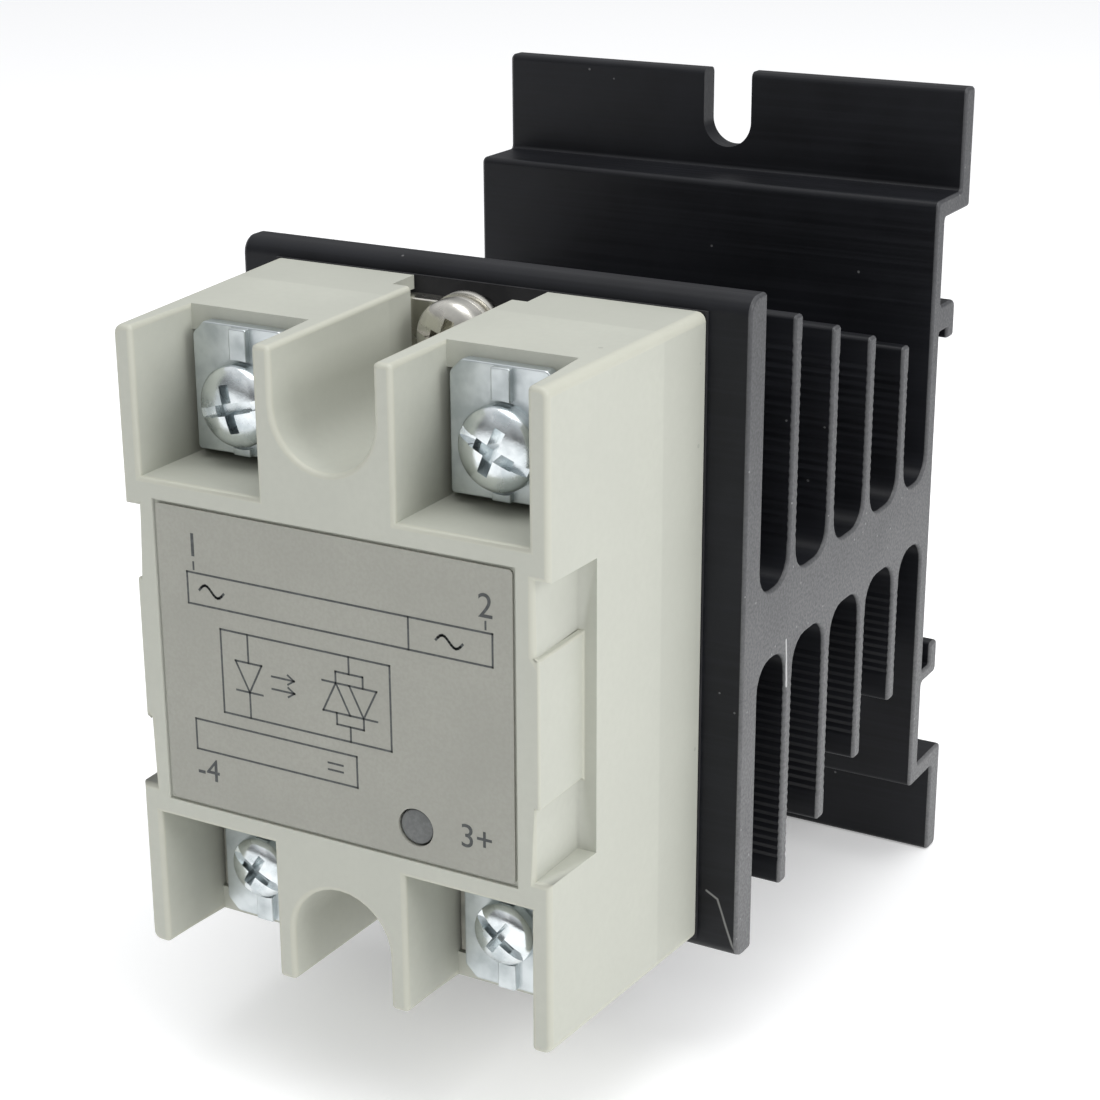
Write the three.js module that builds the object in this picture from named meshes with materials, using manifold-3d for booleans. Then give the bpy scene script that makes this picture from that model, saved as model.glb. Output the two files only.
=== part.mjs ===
// Solid state relay bolted to a finned aluminium heat sink.
// Millimetres. +X across the width, +Z up, -Y out of the front. The mounting plane (the back of the
// heat sink's two flanges) faces +Y, and the origin is the centre of the whole unit's box.
import * as THREE from "three";
import { mergeVertices } from "three/addons/utils/BufferGeometryUtils.js";
import Module from "manifold-3d";

const wasm = await Module();
wasm.setup();

// ---------------------------------------------------------------- driving dimensions, heat sink
const sinkWidth = 50; // length of the cut extrusion, along X
const sinkHeight = 80; // flange tip to flange tip
const sinkDepth = 50; // mounting plane to the relay's seat
const seatThickness = 3.1; // front plate that the relay is bolted to
const seatMargin = 1.4; // seat above and below the relay
const seatCornerRadius = 1.5;
const stemThickness = 6.4; // web between the seat and the base
const rootRadius = 2.4; // where a fin leaves the stem
const finCount = 4;
const finThickness = 1.5;
const finPitch = 8.4;
const frontFinReach = 26.4; // from the centre plane to the tip of the fin nearest the seat
const finReachStep = 2.85; // each fin further back is this much shorter
const baseThickness = 1.9;
const baseSetOff = 6.5; // mounting plane to the back of the base
const flangeThickness = 2.3;
const flangeHeight = 9.8;
const stepThickness = 1.8; // shelf that joins a flange to the base
const slotWidth = 5.2; // open screw slot in each flange
const slotDepth = 7.6;

// ---------------------------------------------------------------- driving dimensions, rail hooks
const railWidth = 35; // top-hat rail, edge to edge
const railPlay = 0.3;
const railCentreZ = -0.45;
const hookReach = 3.9; // how far a hook stands out from the base
const upperLipDrop = 1.1; // upper hook opens downwards
const upperLipThickness = 1.7;
const upperArmThickness = 2.6;
const lowerLipRise = 2.3; // lower hook opens upwards
const lowerLipThickness = 1.7;
const lowerFloorThickness = 1.2;
const hookCornerRadius = 0.8;

// ---------------------------------------------------------------- driving dimensions, relay
const relayWidth = 42.4; // at the back of the housing
const relayHeight = 56.8; // at the back of the housing
const relayDepth = 24.1; // thermal pad to the front
const frontInsetX = 1.1; // draft: how much each side comes in at the front
const frontInsetZ = 0.6;
const creaseDepth = 17; // where the draft changes, from the front
const creaseInset = 0.35;
const padThickness = 0.3;
const wall = 1.7;
const sideWall = 1.8;
const plateThickness = 2;
const plateSlotWidth = 5.6; // open slot in the base plate for each mounting screw
const plateMarginX = 1.3; // base plate's edge inside the housing's edge
const plateMarginZ = 1.5;
const housingLift = 0.2; // the base plate stands this far proud of the housing's back
const boltEdge = 3.7; // mounting screw's axis to the end of the housing
const notchWidth = 9.6; // open slot for each mounting screw
const notchReach = 6.5; // screw axis to the closed end of its slot
const washerSpaceWidth = 13.2; // wider part of the notch at the back
const washerSpaceDepth = 3.4;

// Terminal pockets, two above (load) and two below (input).
const pocketFloorZ = 15.2; // wall between the pockets and the label
const pocketDepth = 8; // front to the lip above the terminal
const pocketRecess = 1.2; // how much further the terminal's seat goes back
const lipHeight = 2; // lip over the terminal at the pocket's open end

// Label and indicator.
const labelMarginX = 3.2; // label's edge to the side of the front
const labelMarginZ = 2; // label's edge to the pockets
const labelThickness = 0.2;
const labelRecess = 0.3;
const windowRadius = 1.55;
const windowFromSide = 9.2; // indicator's centre to the label's right edge
const windowFromFoot = 2.8; // indicator's centre to the label's lower edge

// Grip recess in each side of the housing.
const gripDepth = 7; // from the front
const gripHeight = 25.2;
const gripInset = 1.4;
const gripBossHeight = 12.6;
const gripBossInset = 0.9;

// Inside the housing.
const rearSideWall = 1.3; // thinnest side wall behind the pockets
const rearEndWall = 2.1; // thinnest end wall behind the pockets

// Clearances.
const fitGap = 0.3; // beside a piece that sits in a recess
const seatGap = 0.05; // between pieces that are stacked
const threadGap = 0.15; // radial, screw to the hole it turns in
const plugGap = 0.15; // radial, window to its hole

// How far a cutter runs past the face that it opens, and how far joined or stepped shapes run together.
const overrun = 1;
const lap = 0.5;

// Fastener sizes.
const roundSides = 24;
const loadScrew = { shank: 1.75, head: 3.5, headHeight: 2.2, length: 8 };
const inputScrew = { shank: 1.5, head: 2.8, headHeight: 1.9, length: 7 };
const boltScrew = { shank: 2, head: 3.3, headHeight: 2.5, length: 8 };
const recessWidth = 0.9; // cross recess in a screw head
const recessDepth = 1.2;
const recessShare = 0.6; // of the head's radius
const crownShares = [[0.55, 0.06], [0.86, 0.3], [1, 0.68]]; // of the head's radius and of its height
const lockWasher = { inner: 2.15, outer: 3.2, thickness: 0.9 };
const flatWasher = { inner: 2.25, outer: 3.5, thickness: 0.8 };
const washerSplit = 0.5; // gap in a lock washer

// Terminal metal.
const clampThickness = 1.2;
const clampRidge = 0.6; // height of the ridge pressed into a clamp, above and below its screw
const clampRidgeWidth = 1.2;
const terminalThickness = 1.2;
const clampPlay = { load: 1, input: 1.5 }; // beside a clamp in its pocket
const clampEndPlay = 0.8; // above and below a clamp in its pocket
const loadScrewDrop = 1; // load screws sit this far below the middle of their pockets
const legWidth = 3;
const legThickness = 1;

// ---------------------------------------------------------------- derived places
const overallDepth = sinkDepth + padThickness + relayDepth;
const seatFrontY = -sinkDepth;
const seatBackY = seatFrontY + seatThickness;
const baseBackY = -baseSetOff;
const baseFrontY = baseBackY - baseThickness;
const seatHalf = relayHeight / 2 + seatMargin;
const sinkHalf = sinkHeight / 2;
const stepOuterZ = sinkHalf - flangeHeight;
const stepInnerZ = stepOuterZ - stepThickness;
const padFrontY = seatFrontY - padThickness;
const frontY = -overallDepth;
const plateFrontY = padFrontY - plateThickness;
const housingBackY = padFrontY - housingLift;
const boltZ = relayHeight / 2 - boltEdge;
const notchFloorZ = boltZ - notchReach;
const frontHalfX = relayWidth / 2 - frontInsetX;
const frontHalfZ = relayHeight / 2 - frontInsetZ;
const pocketInnerX = notchWidth / 2 + wall;
const pocketOuterX = frontHalfX - sideWall;
const pocketHalfX = (pocketOuterX - pocketInnerX) / 2;
const terminalX = (pocketInnerX + pocketOuterX) / 2;
const terminalZ = (pocketFloorZ + frontHalfZ) / 2;
const middleHalfZ = Math.min(pocketFloorZ, notchFloorZ); // the block between the pockets
const chamberHalfX = frontHalfX - gripInset - wall;
const chamberHalfZ = middleHalfZ - wall;
const labelHalfX = frontHalfX - labelMarginX;
const labelHalfZ = middleHalfZ - labelMarginZ;
const windowX = labelHalfX - windowFromSide;
const windowZ = windowFromFoot - labelHalfZ;
const plateHalfX = relayWidth / 2 - plateMarginX;
const plateHalfZ = relayHeight / 2 - plateMarginZ;
const rearWallY = frontY + pocketDepth + pocketRecess + wall; // front of the rear chamber
const loadBackY = frontY + pocketDepth + pocketRecess - seatGap; // back face of each terminal
const terminalFrontY = loadBackY - terminalThickness;
const clampBackY = terminalFrontY - seatGap;
const clampFrontY = clampBackY - clampThickness;
const headBackY = clampFrontY - seatGap;

// ---------------------------------------------------------------- geometry helpers
function merged(geometry) {
  const bare = geometry.index ? geometry.toNonIndexed() : geometry.clone();
  bare.deleteAttribute("normal");
  bare.deleteAttribute("uv");
  return mergeVertices(bare, 1e-4);
}

function solid(geometry) {
  const shared = merged(geometry);
  const corners = shared.index.array;
  const kept = [];
  for (let i = 0; i < corners.length; i += 3) {
    const [a, b, c] = [corners[i], corners[i + 1], corners[i + 2]];
    if (a !== b && b !== c && c !== a) kept.push(a, b, c);
  }
  const mesh = new wasm.Mesh({
    numProp: 3,
    vertProperties: new Float32Array(shared.attributes.position.array),
    triVerts: new Uint32Array(kept),
  });
  return new wasm.Manifold(mesh);
}

function join(...parts) {
  return parts.reduce((whole, part) => whole.add(part));
}

function cut(body, ...tools) {
  return tools.reduce((left, tool) => left.subtract(tool), body);
}

function geometryOf(body) {
  const mesh = body.getMesh();
  const geometry = new THREE.BufferGeometry();
  geometry.setAttribute("position", new THREE.BufferAttribute(mesh.vertProperties, 3));
  geometry.setIndex(new THREE.BufferAttribute(mesh.triVerts, 1));
  geometry.computeVertexNormals();
  return geometry;
}

// A block between two corners.
function block([x0, y0, z0], [x1, y1, z1]) {
  const geometry = new THREE.BoxGeometry(x1 - x0, y1 - y0, z1 - z0);
  geometry.translate((x0 + x1) / 2, (y0 + y1) / 2, (z0 + z1) / 2);
  return solid(geometry);
}

// A block centred on x and z, between two depths.
function slab(x, z, width, height, y0, y1) {
  return block([x - width / 2, y0, z - height / 2], [x + width / 2, y1, z + height / 2]);
}

// A shape drawn in (y, z), extruded along X and centred on x = 0.
function alongX(shape, length, curveSegments) {
  const options = { depth: length, bevelEnabled: false, curveSegments };
  const geometry = new THREE.ExtrudeGeometry(shape, options);
  const axes = [new THREE.Vector3(0, 1, 0), new THREE.Vector3(0, 0, 1), new THREE.Vector3(1, 0, 0)];
  geometry.applyMatrix4(new THREE.Matrix4().makeBasis(...axes));
  geometry.translate(-length / 2, 0, 0);
  return solid(geometry);
}

// A shape drawn in (x, z), extruded along Y from y0 to y1.
function alongY(shape, y0, y1, curveSegments = 8) {
  const options = { depth: y1 - y0, bevelEnabled: false, curveSegments };
  const geometry = new THREE.ExtrudeGeometry(shape, options);
  const axes = [new THREE.Vector3(1, 0, 0), new THREE.Vector3(0, 0, 1), new THREE.Vector3(0, -1, 0)];
  geometry.applyMatrix4(new THREE.Matrix4().makeBasis(...axes));
  geometry.translate(0, y1, 0);
  return solid(geometry);
}

// A profile of [radius, y] points turned about the Y axis at (x, z).
function turned(profile, x, z, sides = roundSides) {
  const points = profile.map(([radius, y]) => new THREE.Vector2(radius, y));
  const geometry = new THREE.LatheGeometry(points, sides);
  geometry.translate(x, 0, z);
  return solid(geometry);
}

function rod(radius, y0, y1, x, z, sides = roundSides) {
  return turned([[0, y0], [radius, y0], [radius, y1], [0, y1]], x, z, sides);
}

// A block whose two ends differ in size: half widths and heights at y0 and at y1.
function taperedBlock(halfX0, halfZ0, y0, halfX1, halfZ1, y1) {
  const geometry = new THREE.BoxGeometry(2, 2, 2);
  const position = geometry.attributes.position;
  for (let i = 0; i < position.count; i += 1) {
    const front = position.getY(i) < 0;
    const x = position.getX(i) * (front ? halfX0 : halfX1);
    const z = position.getZ(i) * (front ? halfZ0 : halfZ1);
    position.setXYZ(i, x, front ? y0 : y1, z);
  }
  return solid(geometry);
}

// A slot open at one end: side is +1 for open upwards and -1 for open downwards.
function openSlot(width, floorZ, openZ, side) {
  const radius = width / 2;
  const centre = side * (floorZ + radius);
  const shape = new THREE.Shape();
  shape.moveTo(radius, side * openZ);
  shape.lineTo(radius, centre);
  shape.absarc(0, centre, radius, 0, side > 0 ? -Math.PI : Math.PI, side > 0);
  shape.lineTo(-radius, side * openZ);
  shape.closePath();
  return shape;
}

const group = new THREE.Group();
group.position.y = overallDepth / 2;

function addPart(name, body, material) {
  const mesh = new THREE.Mesh(geometryOf(body), material);
  mesh.name = name;
  group.add(mesh);
}

function material(color, roughness, metalness) {
  return new THREE.MeshStandardMaterial({ color, roughness, metalness });
}

const anodised = () => material(0x17181c, 0.45, 0.6);
const mouldedGrey = () => material(0xc9c6bd, 0.5, 0);
const zinc = () => material(0xc3c8cf, 0.28, 0.95);
const nickel = () => material(0xb9b8b2, 0.3, 0.95);
const copper = () => material(0xb87048, 0.35, 0.95);

// ---------------------------------------------------------------- heat sink
function finPlace(index) {
  const middle = (seatBackY + baseFrontY) / 2;
  return middle + finPitch * (index - (finCount - 1) / 2);
}

function finReach(index) {
  return frontFinReach - finReachStep * index;
}

// One gap between two fins, drawn from (yFrom, zFrom) down to the stem and up to (yTo, zTo).
function gapOutline(shape, yFrom, zFrom, yTo, zTo, side) {
  const floor = (side * stemThickness) / 2;
  const radius = Math.min(rootRadius, Math.abs(yTo - yFrom) / 2);
  const down = Math.sign(yTo - yFrom);
  const clockwise = side * down < 0;
  shape.lineTo(yFrom, zFrom);
  shape.lineTo(yFrom, floor + side * radius);
  const start = down > 0 ? Math.PI : 0;
  const middle = (-side * Math.PI) / 2;
  const end = down > 0 ? 0 : Math.PI;
  const wrap = (angle, near) => angle + 2 * Math.PI * Math.round((near - angle) / (2 * Math.PI));
  const centreZ = floor + side * radius;
  shape.absarc(yFrom + down * radius, centreZ, radius, wrap(start, middle), middle, clockwise);
  shape.absarc(yTo - down * radius, centreZ, radius, middle, wrap(end, middle), clockwise);
  shape.lineTo(yTo, zTo);
}

// Comb of fins above the stem (side +1, drawn front to back) or below it (side -1, back to front).
function combOutline(shape, side) {
  const walls = [[seatFrontY, seatBackY, seatHalf]];
  for (let i = 0; i < finCount; i += 1) {
    const middle = finPlace(i);
    walls.push([middle - finThickness / 2, middle + finThickness / 2, finReach(i)]);
  }
  walls.push([baseFrontY, baseBackY, stepOuterZ]);
  const ordered = side > 0 ? walls : walls.map(([a, b, reach]) => [b, a, reach]).reverse();
  for (let i = 0; i + 1 < ordered.length; i += 1) {
    const [, leaving, reachFrom] = ordered[i];
    const [arriving, , reachTo] = ordered[i + 1];
    gapOutline(shape, leaving, side * reachFrom, arriving, side * reachTo, side);
  }
}

function hookOutlines() {
  const slotTop = railCentreZ + (railWidth + railPlay) / 2;
  const slotBottom = railCentreZ - (railWidth + railPlay) / 2;
  const tipY = baseBackY + hookReach;
  const radius = hookCornerRadius;
  const upper = new THREE.Shape();
  upper.moveTo(baseBackY - baseThickness / 2, slotTop + upperArmThickness);
  upper.lineTo(tipY - radius, slotTop + upperArmThickness);
  upper.absarc(tipY - radius, slotTop + upperArmThickness - radius, radius, Math.PI / 2, 0, true);
  upper.lineTo(tipY, slotTop - upperLipDrop + radius / 2);
  upper.lineTo(tipY - radius / 2, slotTop - upperLipDrop);
  upper.lineTo(tipY - upperLipThickness, slotTop - upperLipDrop);
  upper.lineTo(tipY - upperLipThickness, slotTop);
  upper.lineTo(baseBackY - baseThickness / 2, slotTop);
  upper.closePath();
  const lower = new THREE.Shape();
  lower.moveTo(baseBackY - baseThickness / 2, slotBottom);
  lower.lineTo(tipY - lowerLipThickness, slotBottom);
  lower.lineTo(tipY - lowerLipThickness, slotBottom + lowerLipRise);
  lower.lineTo(tipY - radius / 2, slotBottom + lowerLipRise);
  lower.lineTo(tipY, slotBottom + lowerLipRise - radius / 2);
  lower.lineTo(tipY, slotBottom - lowerFloorThickness + radius);
  lower.absarc(tipY - radius, slotBottom - lowerFloorThickness + radius, radius, 0, -Math.PI / 2, true);
  lower.lineTo(baseBackY - baseThickness / 2, slotBottom - lowerFloorThickness);
  lower.closePath();
  return [upper, lower];
}

function heatSink() {
  const shape = new THREE.Shape();
  const radius = seatCornerRadius;
  shape.moveTo(seatFrontY, -seatHalf + radius);
  shape.lineTo(seatFrontY, seatHalf - radius);
  shape.absarc(seatFrontY + radius, seatHalf - radius, radius, Math.PI, Math.PI / 2, true);
  combOutline(shape, 1);
  shape.lineTo(-flangeThickness, stepOuterZ);
  shape.lineTo(-flangeThickness, sinkHalf);
  shape.lineTo(0, sinkHalf);
  shape.lineTo(0, stepInnerZ);
  shape.lineTo(baseBackY, stepInnerZ);
  shape.lineTo(baseBackY, -stepInnerZ);
  shape.lineTo(0, -stepInnerZ);
  shape.lineTo(0, -sinkHalf);
  shape.lineTo(-flangeThickness, -sinkHalf);
  shape.lineTo(-flangeThickness, -stepOuterZ);
  combOutline(shape, -1);
  shape.lineTo(seatBackY, -seatHalf);
  shape.lineTo(seatFrontY + radius, -seatHalf);
  shape.absarc(seatFrontY + radius, -seatHalf + radius, radius, -Math.PI / 2, -Math.PI, true);
  const extrusion = alongX(shape, sinkWidth, 4);
  const hooks = hookOutlines().map((outline) => alongX(outline, sinkWidth, 3));
  const flangeCut = [-flangeThickness - overrun, overrun];
  const slots = [1, -1].map((side) => {
    const outline = openSlot(slotWidth, sinkHalf - slotDepth, sinkHalf + overrun, side);
    return alongY(outline, ...flangeCut);
  });
  const holeRadius = boltScrew.shank + threadGap;
  const holes = [boltZ, -boltZ].map((z) =>
    rod(holeRadius, seatFrontY - overrun, seatBackY + lap, 0, z),
  );
  return cut(join(extrusion, ...hooks), ...slots, ...holes);
}

addPart("heat_sink", heatSink(), anodised());

// ---------------------------------------------------------------- thermal pad and base plate
function thermalPad() {
  const sheet = slab(0, 0, relayWidth, relayHeight, padFrontY, seatFrontY);
  const holes = [boltZ, -boltZ].map((z) =>
    rod(boltScrew.shank + 2 * fitGap, padFrontY - overrun, seatFrontY + overrun, 0, z),
  );
  return cut(sheet, ...holes);
}

function basePlate() {
  const plate = slab(0, 0, 2 * plateHalfX, 2 * plateHalfZ, plateFrontY, padFrontY);
  const open = plateHalfZ + overrun;
  const slots = [1, -1].map((side) => {
    const outline = openSlot(plateSlotWidth, boltZ - plateSlotWidth / 2, open, side);
    return alongY(outline, plateFrontY - overrun, padFrontY + overrun);
  });
  return cut(plate, ...slots);
}

addPart("thermal_pad", thermalPad(), material(0x35363a, 0.7, 0));
addPart("relay_base_plate", basePlate(), nickel());

// ---------------------------------------------------------------- terminals
// Each of the four has a name, a side of the centre plane, a row (+1 above, -1 below) and its screw.
const stations = [
  { label: "load_1", side: -1, row: 1, screw: loadScrew, play: clampPlay.load, load: true },
  { label: "load_2", side: 1, row: 1, screw: loadScrew, play: clampPlay.load, load: true },
  { label: "input_3", side: 1, row: -1, screw: inputScrew, play: clampPlay.input, load: false },
  { label: "input_4", side: -1, row: -1, screw: inputScrew, play: clampPlay.input, load: false },
];

const terminalHalfX = pocketHalfX - fitGap;
const terminalInnerZ = pocketFloorZ + fitGap;
const lipZ = frontHalfZ - lipHeight;
const terminalOuterZ = lipZ - fitGap;
const boardGap = 0.8; // between the board's edge and the housing
const boardHalfX = chamberHalfX - boardGap;
const boardHalfZ = chamberHalfZ - boardGap;
const footReach = 2; // how far a leg's foot reaches over the board or the ceramic
const footInnerZ = boardHalfZ - footReach;
const ceramicThickness = 0.7;
const ceramicFrontY = plateFrontY - seatGap - ceramicThickness;
const boardThickness = 1.6;
const boardFrontY = rearWallY + legThickness + 2 * seatGap;

function screwZ(station) {
  return station.row * terminalZ - (station.load ? loadScrewDrop : 0);
}

function footY(station) {
  const behind = station.load ? ceramicFrontY : boardFrontY;
  return behind - seatGap - legThickness;
}

// A box on the row's side of the centre plane, from the inner to the outer z.
function rowBlock(station, halfX, y0, y1, inner, outer) {
  const x = station.side * terminalX;
  const [low, high] = station.row > 0 ? [inner, outer] : [-outer, -inner];
  return block([x - halfX, y0, low], [x + halfX, y1, high]);
}

function terminal(station) {
  const plate = rowBlock(station, terminalHalfX, terminalFrontY, loadBackY, terminalInnerZ, terminalOuterZ);
  const legOuter = terminalInnerZ + legThickness;
  const footBack = footY(station) + legThickness;
  const leg = rowBlock(station, legWidth / 2, loadBackY - lap, footBack, terminalInnerZ, legOuter);
  const foot = rowBlock(station, legWidth / 2, footY(station), footBack, footInnerZ, legOuter);
  const radius = station.screw.shank + threadGap;
  const x = station.side * terminalX;
  const hole = rod(radius, terminalFrontY - overrun, loadBackY + overrun, x, screwZ(station));
  return cut(join(plate, leg, foot), hole);
}

// Square plate under the screw head. A ridge stiffens it above and below the head.
function clampPlate(station) {
  const x = station.side * terminalX;
  const z = station.row * terminalZ;
  const width = 2 * (pocketHalfX - station.play);
  const height = frontHalfZ - pocketFloorZ - 2 * clampEndPlay;
  const plate = slab(x, z, width, height, clampFrontY, clampBackY);
  const ridgeFrontY = clampFrontY - clampRidge;
  const ridge = slab(x, z, clampRidgeWidth, height, ridgeFrontY, clampFrontY + lap);
  const [room, shank] = [station.screw.head + fitGap, station.screw.shank + threadGap];
  const headRoom = rod(room, ridgeFrontY - overrun, clampFrontY, x, screwZ(station));
  const hole = rod(shank, clampFrontY - lap, clampBackY + overrun, x, screwZ(station));
  return cut(join(plate, ridge), headRoom, hole);
}

// Pan head with a rounded crown, on the axis at (x, z); faceY is the underside of the head.
function panScrew(size, x, z, faceY) {
  const crown = faceY - size.headHeight;
  const profile = [
    [0, crown],
    ...crownShares.map(([across, down]) => [across * size.head, crown + down * size.headHeight]),
    [size.head, faceY],
    [size.shank, faceY],
    [size.shank, faceY + size.length - size.shank / 2],
    [size.shank / 2, faceY + size.length],
    [0, faceY + size.length],
  ];
  const body = turned(profile, x, z);
  const span = 2 * size.head * recessShare;
  const floor = crown + recessDepth;
  const upright = slab(x, z, recessWidth, span, crown - overrun, floor);
  const level = slab(x, z, span, recessWidth, crown - overrun, floor);
  return cut(body, upright, level);
}

for (const station of stations) {
  const x = station.side * terminalX;
  const z = screwZ(station);
  addPart("terminal_" + station.label, terminal(station), copper());
  addPart("clamp_plate_" + station.label, clampPlate(station), zinc());
  addPart("terminal_screw_" + station.label, panScrew(station.screw, x, z, headBackY), zinc());
}

// ---------------------------------------------------------------- housing
function housingShell() {
  const creaseY = frontY + creaseDepth;
  const creaseHalfX = relayWidth / 2 - creaseInset;
  const creaseHalfZ = relayHeight / 2 - creaseInset / 2;
  const nose = taperedBlock(frontHalfX, frontHalfZ, frontY, creaseHalfX, creaseHalfZ, creaseY);
  const halves = [relayWidth / 2, relayHeight / 2];
  const skirt = taperedBlock(creaseHalfX, creaseHalfZ, creaseY, ...halves, housingBackY);
  return join(nose, skirt);
}

// Everything that the housing gives up for one terminal: pocket, terminal seat, screw bore, leg slot.
function terminalCuts(station) {
  const beyond = relayHeight / 2 + overrun;
  const x = station.side * terminalX;
  const lipY = frontY + pocketDepth;
  const mouth = rowBlock(station, pocketHalfX, frontY - overrun, lipY, pocketFloorZ, beyond);
  const seatBack = lipY + pocketRecess;
  const seat = rowBlock(station, pocketHalfX, lipY - lap, seatBack, pocketFloorZ, lipZ);
  const boreRadius = station.screw.shank + 2 * fitGap;
  const bore = rod(boreRadius, seatBack - lap, rearWallY + lap, x, screwZ(station));
  const legOuter = terminalInnerZ + legThickness + fitGap;
  const legHalf = legWidth / 2 + fitGap;
  const legSlot = rowBlock(station, legHalf, seatBack - lap, rearWallY + lap, pocketFloorZ, legOuter);
  return [mouth, seat, bore, legSlot];
}

// Hollow for the electronics: a chamber behind the label and a wider one behind the pockets.
function chamberCuts() {
  const front = frontY + wall + labelRecess;
  const back = plateFrontY;
  const behindLabel = slab(0, 0, 2 * chamberHalfX, 2 * chamberHalfZ, front, back);
  const washerHalf = washerSpaceWidth / 2 + wall;
  const rearHalfX = frontHalfX - rearSideWall;
  const rearHalfZ = frontHalfZ - rearEndWall;
  const sides = [-1, 1].map((side) => {
    const middle = (side * (washerHalf + rearHalfX)) / 2;
    return slab(middle, 0, rearHalfX - washerHalf, 2 * rearHalfZ, rearWallY, back);
  });
  const between = slab(0, 0, 2 * (washerHalf + lap), 2 * (notchFloorZ - wall), rearWallY, back);
  const [seatWidth, seatHeight] = [2 * (plateHalfX + fitGap), 2 * (plateHalfZ + fitGap)];
  const plateSeat = slab(0, 0, seatWidth, seatHeight, plateFrontY - seatGap, housingBackY + overrun);
  return [behindLabel, ...sides, between, plateSeat];
}

function notchCuts() {
  const open = relayHeight / 2 + overrun;
  const outerFaceY = frontY - overrun;
  const washerFront = housingBackY - washerSpaceDepth;
  const washerFloor = notchFloorZ - (washerSpaceWidth - notchWidth) / 2 + wall;
  return [1, -1].flatMap((side) => {
    const slot = openSlot(notchWidth, notchFloorZ, open, side);
    const space = openSlot(washerSpaceWidth, washerFloor, open, side);
    const backY = housingBackY + overrun;
    return [alongY(slot, outerFaceY, backY), alongY(space, washerFront, backY)];
  });
}

function gripCuts() {
  const back = frontY + gripDepth;
  const outside = relayWidth / 2 + overrun;
  return [-1, 1].flatMap((side) => {
    const spans = [
      [gripInset, gripBossHeight / 2, gripHeight / 2],
      [gripInset, -gripHeight / 2, -gripBossHeight / 2],
      [gripBossInset, -gripBossHeight / 2, gripBossHeight / 2],
    ];
    return spans.map(([inset, z0, z1]) => {
      const inner = side * (frontHalfX - inset);
      const [x0, x1] = [Math.min(inner, side * outside), Math.max(inner, side * outside)];
      return block([x0, frontY - overrun, z0], [x1, back, z1]);
    });
  });
}

function housing() {
  const [seatWidth, seatHeight] = [2 * (labelHalfX + fitGap), 2 * (labelHalfZ + fitGap)];
  const labelSeat = slab(0, 0, seatWidth, seatHeight, frontY - overrun, frontY + labelRecess);
  const holeRadius = windowRadius + plugGap;
  const windowHole = rod(holeRadius, frontY - overrun, frontY + 2 * wall, windowX, windowZ);
  const cuts = [...stations.flatMap(terminalCuts), ...chamberCuts(), ...notchCuts(), ...gripCuts()];
  return cut(housingShell(), ...cuts, labelSeat, windowHole);
}

function frontLabel() {
  const back = frontY + labelRecess - seatGap;
  const sheet = slab(0, 0, 2 * labelHalfX, 2 * labelHalfZ, back - labelThickness, back);
  return cut(sheet, rod(windowRadius + plugGap, frontY - overrun, back + overrun, windowX, windowZ));
}

addPart("relay_housing", housing(), mouldedGrey());
addPart("front_label", frontLabel(), material(0xa39d92, 0.55, 0));

// ---------------------------------------------------------------- electronics
const boardBackY = boardFrontY + boardThickness;
const windowSetBack = 0.1; // the lens stands this far behind the front
const windowLength = 1.7;
const windowChamfer = 0.2;
const ledRadius = 1.5;
const ledLength = 4.4;
const ledTipShare = 0.7; // of the radius, where the dome's flat end starts
const ledTipRise = 0.3;
const ledLegWidth = 0.5;
const ledLegSpread = 0.9; // each leg's distance from the axis
const dieSize = 7;
const dieThickness = 0.6;
const diePitch = 11;
const resinHeadroom = 2.6; // air between the resin and the board

// Components on the front of the board: the place of each one's middle, its size, and how tall it stands.
const optocoupler = { x: -4, z: 1.5, width: 6.4, height: 7.6, tall: 3.4 };
const snubberCapacitor = { x: -2, z: 8, width: 11, height: 4.4, tall: 6.2 };
const limiterTransistor = { x: 4.6, z: -3.6, width: 3.9, height: 3, tall: 3.6 };
const snubberResistor = { x: 9.4, z: 4.6 };
const inputResistor = { x: -11.8, z: -1.2 };
const resistorBarrel = { radius: 1.2, length: 6.4, rise: 0.4, sides: 12 };
const resistorLead = { width: 0.6, height: 1.6, reach: 0.7 };

// Coloured lens in the front wall over the indicator.
function ledWindow() {
  const face = frontY + windowSetBack;
  const back = face + windowLength;
  const flatRadius = windowRadius - windowChamfer;
  const rim = [windowRadius, face + windowChamfer];
  return turned([[0, face], [flatRadius, face], rim, [windowRadius, back], [0, back]], windowX, windowZ);
}

function statusLed() {
  const face = frontY + wall + labelRecess + fitGap;
  const back = face + ledLength;
  const profile = [
    [0, face],
    [ledRadius * ledTipShare, face + ledTipRise],
    [ledRadius, face + ledRadius],
    [ledRadius, back],
    [0, back],
  ];
  const body = turned(profile, windowX, windowZ);
  const legs = [-1, 1].map((side) => {
    const x = windowX + side * ledLegSpread;
    return slab(x, windowZ, ledLegWidth, ledLegWidth, back - lap, boardFrontY - seatGap);
  });
  return join(body, ...legs);
}

addPart("led_window", ledWindow(), material(0x241a18, 0.15, 0));
addPart("status_led", statusLed(), material(0xa01c14, 0.3, 0));
const board = slab(0, 0, 2 * boardHalfX, 2 * boardHalfZ, boardFrontY, boardBackY);
addPart("control_board", board, material(0x2f6b3a, 0.6, 0));

// A rectangular component standing on the front of the board.
function onBoard({ x, z, width, height, tall }) {
  const back = boardFrontY - seatGap;
  return slab(x, z, width, height, back - tall, back);
}

addPart("optocoupler", onBoard(optocoupler), material(0x1b1b1d, 0.6, 0));
addPart("snubber_capacitor", onBoard(snubberCapacitor), material(0xb03a22, 0.45, 0));
addPart("limiter_transistor", onBoard(limiterTransistor), material(0x202022, 0.6, 0));

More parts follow.
